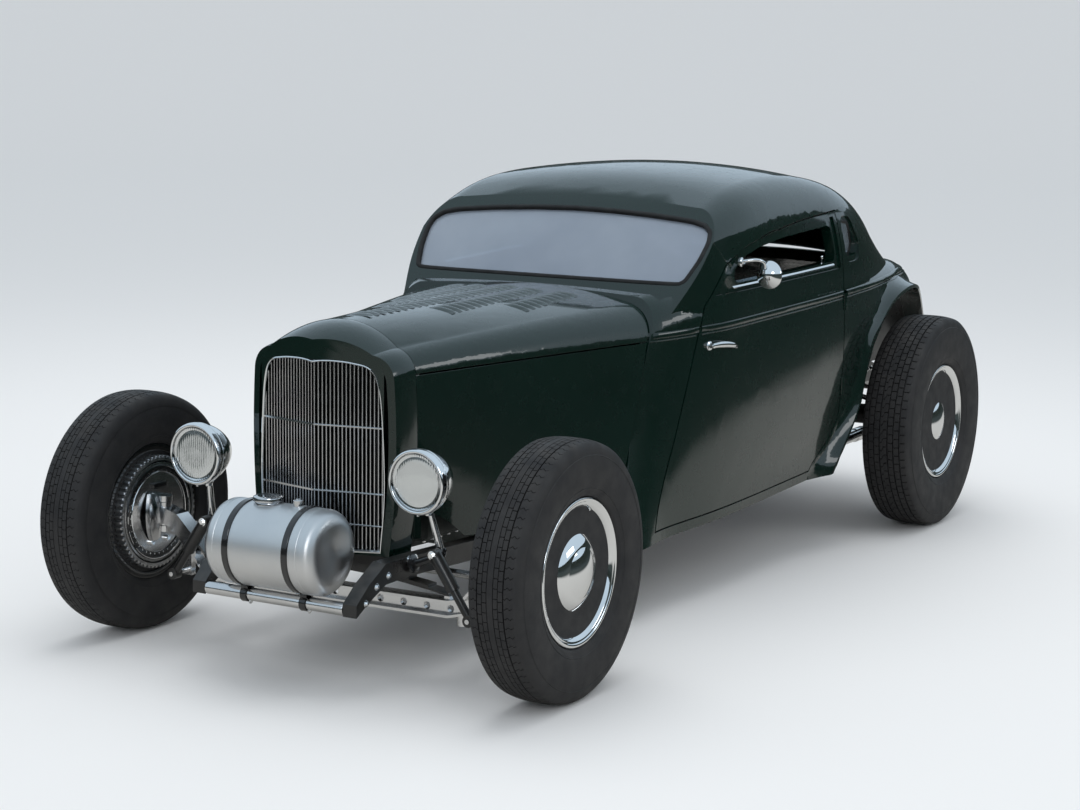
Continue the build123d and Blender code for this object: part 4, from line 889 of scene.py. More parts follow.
# the bright moulding round the grille opening, with its slight dip at the top
def buildMouthTrim(bm):
    half = mouth["half"]
    points = half + [(60, 901), (18, 899), (0, 896.5)]
    right = [Vector((x, noseY(x) + 1.5, z)) for x, z in points]
    line = right + [Vector((-p.x, p.y, p.z)) for p in right[-2::-1]]
    line = smoothLine(line, 6)
    outline = [(1.2, 3.6), (-0.6, 4.2), (-2.6, 3.4), (-4.2, 1.0), (-4.6, -2.0), (-3.4, -6.0), (-1.4, -7.5),
               (1.2, -7.5)]
    sweep(bm, line, outline, 0, (0, -1, 0))
    x, z = half[0]
    y = noseY(x) + 2
    foot = smoothLine([(-x, y, z + 1), (0, noseY(0) + 2, z - 3), (x, y, z + 1)], 8)
    sweep(bm, foot, [(-4, -5), (-4, 2), (0, 3.6), (4, 2), (4, -5)], 0, (0, -1, 0))


makePiece(buildBars, "grilleBars", ("steel",), "chrome", "root", ("grille_bars",))
makePiece(buildMouthTrim, "grilleTrim", ("chrome",), "chrome", "root")


# the radiator's fins and tubes behind the grille
def buildCore(bm):
    s = coreShape
    for k in range(-s["tubes"], s["tubes"] + 1):
        x = k * s["pitch"]
        block(bm, (x - 1.0, -46, 362), (x + 1.0, -30, 876), 0, 0)
    for k in range(s["fins"]):
        z = s["foot"] + k * s["pitch"]
        block(bm, (-s["half"], -43, z), (s["half"], -32, z + 0.9), 0, 0)
    for z in (860, 346):
        block(bm, (-196, -44, z), (196, 12, z + 20), 1, 4)
    for sign in (-1, 1):
        block(bm, (sign * 193 - 3, -44, 346), (sign * 193 + 3, 14, 880), 1, 1)
    block(bm, (-190, -30, 362), (190, 10, 864), 0, 1)


makePiece(buildCore, "radiatorCore", ("dark", "black"), "black_paint", "root", ("radiator",))
print("grille ready")

# Fuel tank.
tankShape = {"half": 200, "radius": 122, "y": -272, "z": 391, "straps": (-100, 105), "strapHalf": 11.0,
             "clamp": (-291, 246), "cap": -38, "bung": 66}


def buildTank(bm):
    s = tankShape
    h, r, c = s["half"], s["radius"], (0, s["y"], s["z"])
    side = [(0, 0), (0.6, 20), (3.5, 55), (9, 84), (18, 104), (30, 116), (42, 121), (54, 122)]
    half = smoothLine(side, 4)
    seam = [(56.0, 122.0), (57, 121.2), (58, 121.2), (59, 122.0)]
    profile = [(-h + a, b) for a, b in half + seam] + [(h - a, b) for a, b in (half + seam)[::-1]]
    lathe(bm, profile, c, (1, 0, 0), 128, 0)


# a low wide cap and the narrow bung beside it
def buildTankCap(bm):
    s = tankShape
    top = s["z"] + s["radius"]
    lathe(bm, [(-8, 38), (-1, 38.5), (1.5, 37.5), (2, 36), (3, 41.5), (5, 43.4), (13, 43.6), (16, 42.6),
               (17.8, 39), (18.6, 30), (18.8, 0)], (s["cap"], s["y"], top), (0, 0, 1), 96, 0)
    bung = (s["bung"], s["y"], top)
    lathe(bm, [(-8, 15.5), (16, 15.5), (17.4, 14.4), (17.6, 0)], bung, (0, 0, 1), 48, 0)
    lathe(bm, [(17, 0), (17, 7.5), (20, 7.5), (20.8, 6.4), (20.8, 0)], bung, (0, 0, 1), 6, 0)


def buildStraps(bm):
    s = tankShape
    r, y, z, w = s["radius"] + 0.3, s["y"], s["z"], s["strapHalf"]
    clampY, clampZ = s["clamp"]
    facing = Matrix(((0, 0, 1, 0), (1, 0, 0, 0), (0, 1, 0, 0), (0, 0, 0, 1)))
    for x in s["straps"]:
        lathe(bm, [(x - w, r), (x - w + 1, r + 1.6), (x - w + 3, r + 3.2), (x + w - 3, r + 3.2),
                   (x + w - 1, r + 1.6), (x + w, r)], (0, y, z), (1, 0, 0), 128, 0, closed=True)
        # the two ends turned down to the spreader tube's clamp, with the through bolt
        for sign in (-1, 1):
            outline = [(-14, 0), (14, 0), (12, 46), (-12, 46)]
            place = Matrix.Translation((x + sign * w + (3 if sign < 0 else 0), clampY, clampZ - 14)) @ facing
            plate(bm, outline, place, 3, 0, 0.6)
        block(bm, (x - w, -305, 262), (x + w, -262, 274), 0, 2)
        lathe(bm, [(x - w, 20.5), (x - w + 1, 23), (x + w - 1, 23), (x + w, 20.5)], (0, clampY, clampZ),
              (1, 0, 0), 48, 0, closed=True)
        bolt(bm, (x + w + 0.5, clampY, clampZ - 20), (1, 0, 0), 6, 5, 1)
        lathe(bm, [(0, 0), (0, 5), (4, 5), (5, 3), (5, 0)], (x - w, clampY, clampZ - 20), (-1, 0, 0), 6, 1)


makePiece(buildTank, "spunTank", ("aluminium",), "spun_aluminium", "root", ("fuel_tank",), smooth=30)
makePiece(buildTankCap, "tankCap", ("steel",), "spun_aluminium", "root", ("fuel_tank",))
makePiece(buildStraps, "tankStraps", ("black", "chrome"), "black_paint", "root", ("tank_straps",))
print("tank ready")

# Painted panels: a merged copy of each drawn panel with its edges rounded and its faces shaded smooth.
panelLook = {
    "edge": 0.0012, "segments": 2, "sharp": 26.0,
    "body_paint": ("cowl", "quarter_left", "quarter_right", "roof", "deck_lid", "door_left", "door_right",
                   "hood_top", "hood_sides", "grille_shell"),
    "others": {"frame": "chassis", "front_axle": "steel", "springs": "chassis", "front_shocks": "chassis",
               "radius_rods": "steel",
               "rear_axle": "chassis", "spreader_bar": "steel", "knuckle_left": "steel",
               "knuckle_right": "steel",
               "tie_rod": "steel", "driveshaft": "chassis"},
}
bodyOf = {}
for body, names in frame["record"]["behaviour"]["bodies"].items():
    for each in names:
        bodyOf[each] = body


# a bmesh of the drawn node in metres, its triangles welded and its flat faces joined
def mergedMesh(name):
    bm = bmesh.new()
    bm.from_mesh(nodes[name].data)
    bmesh.ops.remove_doubles(bm, verts=bm.verts, dist=2e-5)
    bmesh.ops.dissolve_degenerate(bm, edges=bm.edges, dist=1e-5)
    bmesh.ops.dissolve_limit(bm, angle_limit=radians(0.6), verts=bm.verts, edges=bm.edges,
                             use_dissolve_boundaries=False)
    return bm


def makePanel(name, finish):
    bm = mergedMesh(name)
    mesh = bpy.data.meshes.new(name + "Skin")
    bm.to_mesh(mesh)
    bm.free()
    shadeSmooth(mesh, panelLook["sharp"])
    obj = addPiece(name + "Skin", mesh, (finish,), bodyOf[name], (name,))
    edge = obj.modifiers.new("edge", "BEVEL")
    edge.width, edge.segments, edge.limit_method = panelLook["edge"], panelLook["segments"], "ANGLE"
    edge.angle_limit = radians(panelLook["sharp"])
    edge.use_clamp_overlap, edge.harden_normals, edge.loop_slide = True, False, True
    edge.miter_outer = "MITER_ARC"
    obj.modifiers.new("normals", "WEIGHTED_NORMAL").keep_sharp = True


for name in panelLook["body_paint"]:
    makePanel(name, "paint")
print("painted panels ready")


# One copy of a small shape at each place, made by Geometry Nodes. A place is (position in mm, facing, along,
# size).
def repeatTree():
    tree = bpy.data.node_groups.new("repeatAtPlaces", "GeometryNodeTree")
    face = tree.interface
    face.new_socket("Geometry", in_out="INPUT", socket_type="NodeSocketGeometry")
    shapeIn = face.new_socket("Shape", in_out="INPUT", socket_type="NodeSocketObject")
    sizeIn = face.new_socket("Size", in_out="INPUT", socket_type="NodeSocketFloat")
    finishIn = face.new_socket("Finish", in_out="INPUT", socket_type="NodeSocketMaterial")
    face.new_socket("Geometry", in_out="OUTPUT", socket_type="NodeSocketGeometry")
    n, l = tree.nodes, tree.links
    given, result = n.new("NodeGroupInput"), n.new("NodeGroupOutput")
    shape, copies = n.new("GeometryNodeObjectInfo"), n.new("GeometryNodeInstanceOnPoints")
    turn, grow = n.new("GeometryNodeInputNamedAttribute"), n.new("GeometryNodeInputNamedAttribute")
    turn.data_type, grow.data_type = "FLOAT_VECTOR", "FLOAT"
    turn.inputs["Name"].default_value, grow.inputs["Name"].default_value = "turn", "grow"
    scale = n.new("ShaderNodeMath")
    scale.operation = "MULTIPLY"
    real, paint = n.new("GeometryNodeRealizeInstances"), n.new("GeometryNodeSetMaterial")
    l.new(given.outputs["Geometry"], copies.inputs["Points"])
    l.new(given.outputs["Shape"], shape.inputs["Object"])
    l.new(shape.outputs["Geometry"], copies.inputs["Instance"])
    l.new(turn.outputs[0], copies.inputs["Rotation"])
    l.new(grow.outputs[0], scale.inputs[0])
    l.new(given.outputs["Size"], scale.inputs[1])
    l.new(scale.outputs[0], copies.inputs["Scale"])
    l.new(copies.outputs[0], real.inputs["Geometry"])
    l.new(real.outputs[0], paint.inputs["Geometry"])
    l.new(given.outputs["Finish"], paint.inputs["Material"])
    l.new(paint.outputs[0], result.inputs["Geometry"])
    return tree, shapeIn.identifier, sizeIn.identifier, finishIn.identifier


repeater = repeatTree()


def repeatPiece(name, build, places, finish, smooth=35):
    bm = bmesh.new()
    build(bm)
    bmesh.ops.remove_doubles(bm, verts=bm.verts, dist=0.01)
    bmesh.ops.recalc_face_normals(bm, faces=bm.faces)
    unit = bpy.data.meshes.new(name + "Unit")
    bm.to_mesh(unit)
    bm.free()
    unitObject = bpy.data.objects.new(name + "Unit", unit)
    points = bpy.data.meshes.new(name + "Places")
    points.from_pydata([tuple(toPart @ Vector(p)) for p, _, _, _ in places], [], [])
    turns, grows = [], []
    for _, facing, along, size in places:
        z = Vector(facing).normalized()
        x = (Vector(along) - z * Vector(along).dot(z)).normalized()
        turns += list(Matrix((x, z.cross(x), z)).transposed().to_euler())
        grows.append(size)
    points.attributes.new("turn", "FLOAT_VECTOR", "POINT").data.foreach_set("vector", turns)
    points.attributes.new("grow", "FLOAT", "POINT").data.foreach_set("value", grows)
    holder = bpy.data.objects.new(name + "Holder", points)
    for each in (unitObject, holder):
        bpy.context.scene.collection.objects.link(each)
    tree, shapeId, sizeId, finishId = repeater
    modifier = holder.modifiers.new("repeat", "NODES")
    modifier.node_group = tree
    modifier[shapeId], modifier[sizeId], modifier[finishId] = unitObject, 0.001, finishes[finish]
    graph = bpy.context.evaluated_depsgraph_get()
    mesh = bpy.data.meshes.new_from_object(holder.evaluated_get(graph))
    mesh.name = name
    for each in (holder, unitObject):
        bpy.data.objects.remove(each)
    mesh.materials.clear()
    shadeSmooth(mesh, smooth)
    for key in ("turn", "grow"):
        if key in mesh.attributes:
            mesh.attributes.remove(mesh.attributes[key])
    addPiece(name, mesh, (finish,), "root")


# Points on the drawn skin, found by rays.
def skinTree(name):
    mesh = nodes[name].data
    verts = [Vector((v.co.x * 1000, (v.co.y - frontAxleY) * 1000, v.co.z * 1000)) for v in mesh.vertices]
    return BVHTree.FromPolygons(verts, [list(f.vertices) for f in mesh.polygons])


skins = {name: skinTree(name) for name in ("cowl", "door_left", "quarter_left", "hood_top", "deck_lid",
                                           "frame")}


# nearest hit on the named skins: (place, normal, name) or None
def touch(names, start, way):
    best = None
    for name in names:
        place, normal, _, far = skins[name].ray_cast(Vector(start), Vector(way).normalized())
        if place is not None and (best is None or far < best[3]):
            best = (place, normal if normal.dot(Vector(way)) < 0 else -normal, name, far)
    return best[:3] if best else None


# Louvres pressed into the hood's top: five rows, the middle one longest.
louvreRows = {
    "pitch": 37.0, "half": 42.0, "rise": 6.4,
    "rows": ((0, 120, 23), (105, 400, 15), (-105, 400, 15), (210, 655, 9),
             (-210, 655, 9)),  # x, first y, how many
}


# one louvre, rising to the rear over its dark slot
def buildLouvre(bm):
    rings = []
    for k in range(9):
        u = -1 + k / 4
        rise = louvreRows["rise"] * (1 - abs(u) ** 3.2) + 0.15
        back = 11.5 - 2.5 * abs(u) ** 2.5
        profile = [(-13, -0.6), (-9, rise * 0.14), (-3, rise * 0.52), (4, rise * 0.9), (back - 1, rise),
                   (back, rise * 0.93), (back - 0.4, rise * 0.72), (back - 7, rise * 0.55), (back - 8, -0.6)]
        rings.append([Vector((u * louvreRows["half"], y, z)) for y, z in profile])
    loft(bm, rings)


places = []
for x, start, count in louvreRows["rows"]:
    for k in range(count):
        hit = touch(("hood_top",), (x, start + k * louvreRows["pitch"], 1400), (0, 0, -1))
        if hit and abs(hit[1].z) > 0.5:
            places.append((hit[0], hit[1], (1, 0, 0), 1.0))
repeatPiece("hoodLouvres", buildLouvre, places, "paint", smooth=50)

# The belt moulding along the body's side, with a fine line under it, broken at the door.
belt = {
    "foot": 845.5, "slope": 0.04, "levelFrom": 2900,
    "front": 1000.0, "tail": 2760, "around": 1100, "innermost": 440,
    "turns": 34, "firstTurn": 2, "turnStep": 2.1,  # degrees, round the tail
    "step": 14.0, "fineSpan": (990, 1020), "fineStep": 4.0,  # finer where it meets the cowl's edge
    "mouldings": {
        "beltMoulding": (0, [(-10, -2), (-10, 0.4), (-8.8, 1.7), (-6, 2.6), (0, 3.0), (6, 2.6), (8.8, 1.7),
                             (10, 0.4), (10, -2)]),
        "beltLine": (17, [(-2.2, -2), (-2.2, 0.3), (-1.4, 1.2), (0, 1.5), (1.4, 1.2), (2.2, 0.3), (2.2, -2)]),
    },  # how far below the belt, and the outline
}


# runs of (place, normal) on one panel each, from the cowl back round the tail to the boot lid
def beltRuns(drop):
    b = belt
    runs, stops = [], []
    y = b["front"]
    while y < b["tail"]:
        stops.append(((900, y), (-1, 0, 0)))
        y += b["fineStep"] if b["fineSpan"][0] < y < b["fineSpan"][1] else b["step"]
    for k in range(b["turns"]):
        a = radians(b["firstTurn"] + b["turnStep"] * k)
        stops.append(((b["around"] * cos(a), b["tail"] + b["around"] * sin(a)), (-cos(a), -sin(a), 0)))
    last = None
    for (x, y), way in stops:
        z = b["foot"] + b["slope"] * min(y, b["levelFrom"]) - drop
        hit = touch(("cowl", "door_left", "quarter_left"), (x, y, z), way)
        if hit is None or (way[1] == 0 and hit[0].x < b["innermost"]) or hit[1].dot(Vector(way)) > -0.35:
            last = None
            continue
        if hit[2] != last:
            runs.append((hit[2], []))
        last = hit[2]
        runs[-1][1].append((hit[0], hit[1]))
    return [r for r in runs if len(r[1]) > 2]


def buildBelt(bm, runs, outline):
    for run in runs:
        sweep(bm, [p for p, _ in run], [(-a, b) for a, b in outline], 0, [q for _, q in run])


for label, (drop, outline) in belt["mouldings"].items():
    runs = beltRuns(drop)
    for part, bodies in (("root", ("root", "root")), ("door", pair("door"))):
        own = [run for name, run in runs if (name == "door_left") == (part == "door")]
        bothSides(lambda bm: buildBelt(bm, own, outline), label + "_" + part, ("paint",), "body_paint",
                  bodies, smooth=50)
print("louvres and belt moulding ready")

# Windscreen, rear and side glass, each in a rubber seal.
glassShape = {
    "screenFoot": (0, 1183, 1038), "screenUp": (0, 0.66435, 0.74741), "screenOut": (0, -0.74741, 0.66435),
    "screen": [(490, 0), (512, 16), (534, 100), (541, 172), (534, 214), (505, 243), (450, 259), (300, 275),
               (150, 285), (0, 289)],
    "backFoot": (0, 2655, 1236), "backUp": (0, 0.866, -0.5), "backOut": (0, 0.5, 0.866),
    "back": [(190, -58), (205, 0), (175, 58)],
    "quarter": [(2258, 1060), (2252, 1186), (2324, 1180), (2362, 1106), (2350, 1062)],
    "quarterSeal": [(-6, -8), (-6, 0), (-3, 2.4), (3, 2), (7, -1), (7, -8)], "quarterX": 592,
    "seal": [(-7, -13), (-7.5, 0), (-5, 3), (-1, 4), (5, 3), (8, 0), (8.5, -5), (8, -13)],
}


def onPlane(points, foot, up, out, depth=0.0):
    foot, up, out = Vector(foot), Vector(up), Vector(out)
    return [foot + Vector((x, 0, 0)) + up * s + out * depth for x, s in points]


def sealLoop(bm, loop, out, outline, bend=0.25):
    line = rounded(loop, bend, 5)
    sweep(bm, line, outline, 0, [Vector(out)] * len(line), closed=True)


def buildScreenSeal(bm):
    g = glassShape
    half = g["screen"]
    loop = onPlane(half + [(-x, s) for x, s in half[-2::-1]], g["screenFoot"], g["screenUp"], g["screenOut"])
    sealLoop(bm, loop, g["screenOut"], g["seal"])


def buildBackSeal(bm):
    g = glassShape
    loop = onPlane(g["back"] + [(-x, s) for x, s in g["back"][::-1]], g["backFoot"], g["backUp"],
                   g["backOut"], -22)
    sealLoop(bm, loop, g["backOut"], [(a * 0.8, b * 0.5 + 4) for a, b in g["seal"]])


def buildQuarterSeal(bm):
    g = glassShape
    sealLoop(bm, [Vector((g["quarterX"], y, z)) for y, z in g["quarter"]], (1, 0, 0), g["quarterSeal"],
             bend=0.3)


ledgeShape = {"front": 1400, "rear": 2142, "points": 24, "sill": (1372, 1028), "rise": 24 / 786, "below": 10,
              "outline": [(-8.5, -3), (-8.5, 0.4), (-6, 2.2), (6, 2.2), (8.5, 0.4), (8.5, -3)],
              "facing": (0.70, 0, 0.71)}


# the bright ledge along the foot of the door's window, and the lock's knob
def buildWindowLedge(bm):
    s = ledgeShape
    ledge = []
    for k in range(s["points"]):
        y = s["front"] + k * (s["rear"] - s["front"]) / (s["points"] - 1)
        z = s["sill"][1] + (y - s["sill"][0]) * s["rise"] - s["below"]
        hit = touch(("door_left",), (900, y, z + 1), (-1, 0, 0))
        if hit:
            ledge.append(Vector((hit[0].x - 1, y, z)))
    sweep(bm, ledge, s["outline"], 0, s["facing"])
    knob = [(0, 0), (0, 7), (3, 6), (5, 3), (20, 2.6), (23, 5), (29, 6), (33, 4.4), (34, 0)]
    lathe(bm, knob, ledge[-3] + Vector((-16, 0, 2)), (0, 0, 1), 20, 0)


makePiece(buildScreenSeal, "windscreenSeal", ("seal",), "tyre_rubber", smooth=50)
makePiece(buildBackSeal, "backSeal", ("seal",), "tyre_rubber", smooth=50)
bothSides(buildQuarterSeal, "quarterSeal", ("seal",), "tyre_rubber", smooth=50)
bothSides(buildWindowLedge, "windowLedge", ("chrome",), "chrome", pair("door"))


def makeGlass(name, low, high, finish):
    bm = mergedMesh("body_glass")
    far = [v for v in bm.verts if not low <= (v.co.y - frontAxleY) * 1000 <= high]
    bmesh.ops.delete(bm, geom=far, context="VERTS")
    mesh = bpy.data.meshes.new(name)
    bm.to_mesh(mesh)
    bm.free()
    addPiece(name, mesh, (finish,), "root", ("body_glass",))


makeGlass("windscreenGlass", 900, 1500, "screenGlass")
makeGlass("quarterGlass", 2200, 2420, "glass")
makeGlass("backGlass", 2500, 3000, "glass")
print("glass and seals ready")

# Door mirrors, handles, boot lid hinges, tail lamps and exhaust tips.
fittings = {
    "mirrorHead": (668, 1490, 1056), "mirrorRadius": 47.0, "mirrorFoot": (603, 1418, 1100),
    "handle": (1268, 838),
    "lidHinges": (-330, 330), "strapTop": (2956, 1019), "barrel": (2951, 1010), "boss": (2938, 1007),
    "tail": (300, 3491, 520), "tailRadius": 37.0, "pipe": (250, 229.5), "pipeEnds": (900, 3380),
    "pipeClamps": (1180, 2040, 2480, 3140),
}


def buildMirror(bm):
    f = fittings
    head = Vector(f["mirrorHead"])
    r = f["mirrorRadius"]
    back = [(-27, 0), (-26, 9), (-22.5, 20), (-16, 31), (-7, 40), (1, 45.5), (6, r), (9, r - 0.5),
            (10.5, r - 2.5), (10.5, r - 5), (8.4, r - 6)]
    lathe(bm, smoothLine(back, 4), head, (0.12, 1, 0), 72, 0)
    lathe(bm, [(8.6, 0), (8.8, r - 20), (8.4, r - 5.5)], head, (0.12, 1, 0), 72, 1)
    foot = Vector(f["mirrorFoot"])
    neck = head + Vector((-4, -16, 20))
    tube(bm, smoothLine([foot + Vector((-6, 0, 0)), foot + Vector((14, -1, 4)), (650, 1436, 1108),
                         (664, 1462, 1098), tuple(neck)], 6), 5.2, 18, 0)
    lathe(bm, [(0, 0), (0, 8), (7, 7), (9, 4), (9, 0)], neck + Vector((0, 4, -4)), (0.1, -0.6, 0.8), 24, 0)
    lathe(bm, [(-5, 15), (2, 15.5), (4, 13.5), (6, 8), (12, 6), (12, 0)], foot, (1, 0, 0), 40, 0)
    for sign in (-1, 1):
        lathe(bm, [(3, 0), (3, 2.6), (5, 2.2), (5.6, 0)], foot + Vector((0, 9.5 * sign, 0)), (1, 0, 0), 14,
              0)


def buildHandle(bm):
    y, z = fittings["handle"]
    place, out, _ = touch(("door_left",), (900, y, z), (-1, 0, 0))
    x = place.x
    lathe(bm, [(-3, 15), (1.0, 15.5), (3.4, 14), (4.8, 9), (8, 8.4), (14, 8), (17, 8.6), (20, 7.4), (22, 4),
               (22.4, 0)], (x, y, z), out, 40, 0)
    grip = [(x + 17, y - 9, z + 2), (x + 19, y + 6, z + 2), (x + 24, y + 36, z + 2), (x + 30, y + 74, z - 1),
            (x + 33, y + 112, z - 7), (x + 29, y + 146, z - 15)]
    line = smoothLine(grip, 6)
    sizes = [0.5 + 0.62 * sin(pi * (0.10 + 0.80 * (i / (len(line) - 1)))) for i in range(len(line))]
    sweep(bm, line, circle(5.6, 16, 1.6), 0, (0, 0, 1), scale=sizes)


# a strap from the hinge's barrel down to the lid
def buildLidHinge(bm):
    for x in fittings["lidHinges"]:
        line, ups = [Vector((x, *fittings["strapTop"]))], [Vector((0, 0.3, 1))]
        for k in range(9):
            hit = touch(("deck_lid",), (abs(x), 2976 + k * 9.0, 1400), (0, 0, -1))
            if hit:
                line.append(Vector((x, hit[0].y, hit[0].z + 7.0 * (1 - k / 8) ** 1.5 + 0.5)))
                ups.append(hit[1])
        outline = [(-12, -7), (-12, 2), (-9, 4.6), (0, 5.8), (9, 4.6), (12, 2), (12, -7)]
        n = len(line) - 1
        sweep(bm, line, outline, 0, ups, scale=[1.0 - 0.30 * (i / n) ** 2 for i in range(n + 1)])
        for k in (4, 7):
            lathe(bm, [(0, 5), (3.6, 4.4), (5.6, 2.4), (6, 0)], line[k] + ups[k] * 1.5, ups[k], 16, 0)


def buildHingeBarrel(bm):
    for x in fittings["lidHinges"]:
        lathe(bm, [(-36, 0), (-36, 6), (-33, 9.6), (-29, 11.2), (-11, 11.2), (-10, 10.2), (10, 10.2),
                   (11, 11.2), (29, 11.2), (33, 9.6), (36, 6), (36, 0)], (x, *fittings["barrel"]), (1, 0, 0),
              40, 0)
        lathe(bm, [(-2, 13), (9, 12), (14, 8), (15.5, 0)], (x, *fittings["boss"]), (0, -0.35, 1), 32, 0)


def buildTail(bm):
    c, r = fittings["tail"], fittings["tailRadius"]
    lathe(bm, [(-24, r - 9), (-16, r - 3), (-4, r), (3, r + 0.5), (6, r - 1), (7.4, r - 4), (6.4, r - 6.5),
               (3, r - 7)], c, (0, 1, 0), 64, 0)
    lens = [(4, r - 6), (8, r - 8), (12, r - 14), (15, r - 24), (16, 0)]
    lathe(bm, smoothLine(lens, 4), c, (0, 1, 0), 64, 1)
    for ring in (8, 15, 22):
        lathe(bm, [(13.2 - ring * 0.12, ring - 1.4), (15.0 - ring * 0.16, ring),
                   (13.0 - ring * 0.12, ring + 1.4)], c, (0, 1, 0), 64, 1, closed=True)


# exhaust pipes with rolled tips and band clamps
def buildPipes(bm):
    x, z = fittings["pipe"]
    start, end = fittings["pipeEnds"]
    long = end - start
    wall = [(0, 22), (0, 25), (long - 90, 25), (long - 86, 28), (long - 2, 28), (long, 27), (long, 25.4),
            (long - 3, 24.6), (long - 60, 22.6)]
    for sign in (-1, 1):
        lathe(bm, wall, (sign * x, start, z), (0, 1, 0), 48, 0, closed=True)
        for y in fittings["pipeClamps"]:
            lathe(bm, [(-13, 25.2), (-12, 27), (12, 27), (13, 25.2)], (sign * x, y, z), (0, 1, 0), 48, 1,
                  closed=True)
            block(bm, (sign * x - 4, y - 10, z - 37), (sign * x + 4, y + 10, z - 24), 1, 1.2)
            for k in (-5, 5):
                lathe(bm, [(-7, 0), (-7, 4.6), (7, 4.6), (7, 0)], (sign * x, y + k, z - 32), (1, 0, 0), 6, 1)


bothSides(buildMirror, "doorMirror", ("chrome", "mirrorGlass"), "chrome", pair("door"),
          pair("door_brightwork"))
bothSides(buildHandle, "doorHandle", ("chrome",), "chrome", pair("door"), pair("door_brightwork"))
makePiece(buildLidHinge, "lidHingeStraps", ("chrome",), "chrome", "deck_lid")
makePiece(buildHingeBarrel, "lidHingeBarrels", ("chrome",), "chrome", "root")
bothSides(buildTail, "tailLamp", ("chrome", "red"), "red_lens", replaces=("tail_lamps",) * 2)
makePiece(buildPipes, "exhaustPipes", ("steel", "chrome"), "polished_steel", "root", ("exhausts",))
print("fittings ready")

# Chassis: the drawn parts with their edges eased, and their bolts.
for name, finish in panelLook["others"].items():
    makePanel(name, finish)

# (y, z) of the bolts in the frame's horns and rails, found on the rail's outer face
railBolts = {"places": ((-262, 262), (-214, 300), (-160, 322), (-70, 352), (-40, 352), (40, 330), (70, 330),
                        (820, 320), (860, 260), (1400, 262), (1520, 262), (1400, 322), (1520, 322),
                        (2080, 300), (2240, 330), (2950, 560), (2990, 560)),
             "size": 0.85}


def hexHead(bm):
    bolt(bm, (0, 0, 0), (0, 0, 1), 8, 6.5, 0)
    lathe(bm, [(6.5, 0), (6.5, 4.2), (9.5, 4.2), (10.3, 3.2), (10.3, 0)], (0, 0, 0), (0, 0, 1), 12, 0)


places = []
for y, z in railBolts["places"]:
    hit = touch(("frame",), (900, y, z), (-1, 0, 0))
    for sign in (1, -1) if hit else ():
        side = Vector((sign, 1, 1))
        places.append((hit[0] * side, hit[1] * side, (0, 1, 0.01), railBolts["size"]))
repeatPiece("frameBolts", hexHead, places, "chrome")
print("chassis ready")

# Cabin: trimmed inner faces, seat, steering wheel and dials.


# gives the faces of a panel that look along facing their own inner finish
def trimInside(name, finish, facing, limit, below=99.0):
    mesh = madePieces[name + "Skin"].data
    mesh.materials.append(finishes[finish])
    way = Vector(facing)
    for f in mesh.polygons:
        if f.normal.dot(way) > limit and f.center.z < below:
            f.material_index = 1


trimInside("door_left", "leather", (-1, 0, 0), 0.75, 1.01)
trimInside("door_right", "leather", (1, 0, 0), 0.75, 1.01)
trimInside("roof", "headliner", (0, 0, -1), 0.45)
makePanel("floor", "chassis")
trimInside("floor", "carpet", (0, 0, 1), 0.4)
makePanel("dashboard", "paint")
makePanel("steering_column", "chassis")

seatShape = {
    "voxel": 0.0105, "pressure": 4.0, "frames": 20, "swell": 0.020,  # m
    "pleat": 0.074, "pleatDepth": 0.007, "pleatWidth": 0.007, "pleatEase": 0.03,  # m
    "corner": 16, "cushionSeams": (0, -0.2, 1), "restSeams": (0, -1, 0.2),
    "cushion": ([(1852, 484), (1852, 566), (2176, 570), (2176, 484)], 438),
    "rest": ([(2186, 590), (2252, 944), (2300, 944), (2300, 590)], 438),
    "base": ((-444, 1848, 357), (444, 2302, 486)), "legs": ((146, 1866, 344), (444, 2302, 360)),
}


# the pad's own mesh, of even squares
def evenPad(name, outline, half):
    s = seatShape
    bm = bmesh.new()
    loft(bm, [[Vector((x, y, z)) for y, z in outline] for x in (-half, half)])
    bmesh.ops.recalc_face_normals(bm, faces=bm.faces)
    bmesh.ops.bevel(bm, geom=bm.edges[:], offset=s["corner"], segments=3, affect="EDGES", profile=0.5)
    bm.transform(toPart)
    mesh = bpy.data.meshes.new(name)
    bm.to_mesh(mesh)
    bm.free()
    pad = bpy.data.objects.new(name, mesh)
    bpy.context.scene.collection.objects.link(pad)
    remesh = pad.modifiers.new("remesh", "REMESH")
    remesh.mode, remesh.voxel_size = "VOXEL", s["voxel"]
    graph = bpy.context.evaluated_depsgraph_get()
    even = bpy.data.meshes.new_from_object(pad.evaluated_get(graph))
    pad.modifiers.clear()
    pad.data = even
    return pad


# a short cloth run with air inside, which moves no point further than the swell
def swellPad(pad):
    s = seatShape
    start = [v.co.copy() for v in pad.data.vertices]
    cloth = pad.modifiers.new("cloth", "CLOTH")
    cloth.settings.use_pressure, cloth.settings.uniform_pressure_force = True, s["pressure"]
    cloth.settings.effector_weights.gravity = 0
    cloth.settings.quality = 4
    cloth.point_cache.frame_start, cloth.point_cache.frame_end = 1, s["frames"]
    for k in range(1, s["frames"] + 1):
        bpy.context.scene.frame_set(k)
    graph = bpy.context.evaluated_depsgraph_get()
    swollen = bpy.data.meshes.new_from_object(pad.evaluated_get(graph))
    moved = [v.co.copy() for v in swollen.vertices]
    pad.modifiers.clear()
    bpy.context.scene.frame_set(1)
    for v, a, b in zip(pad.data.vertices, start, moved):
        step = b - a
        v.co = a + step * min(1.0, s["swell"] / max(step.length, 1e-9))


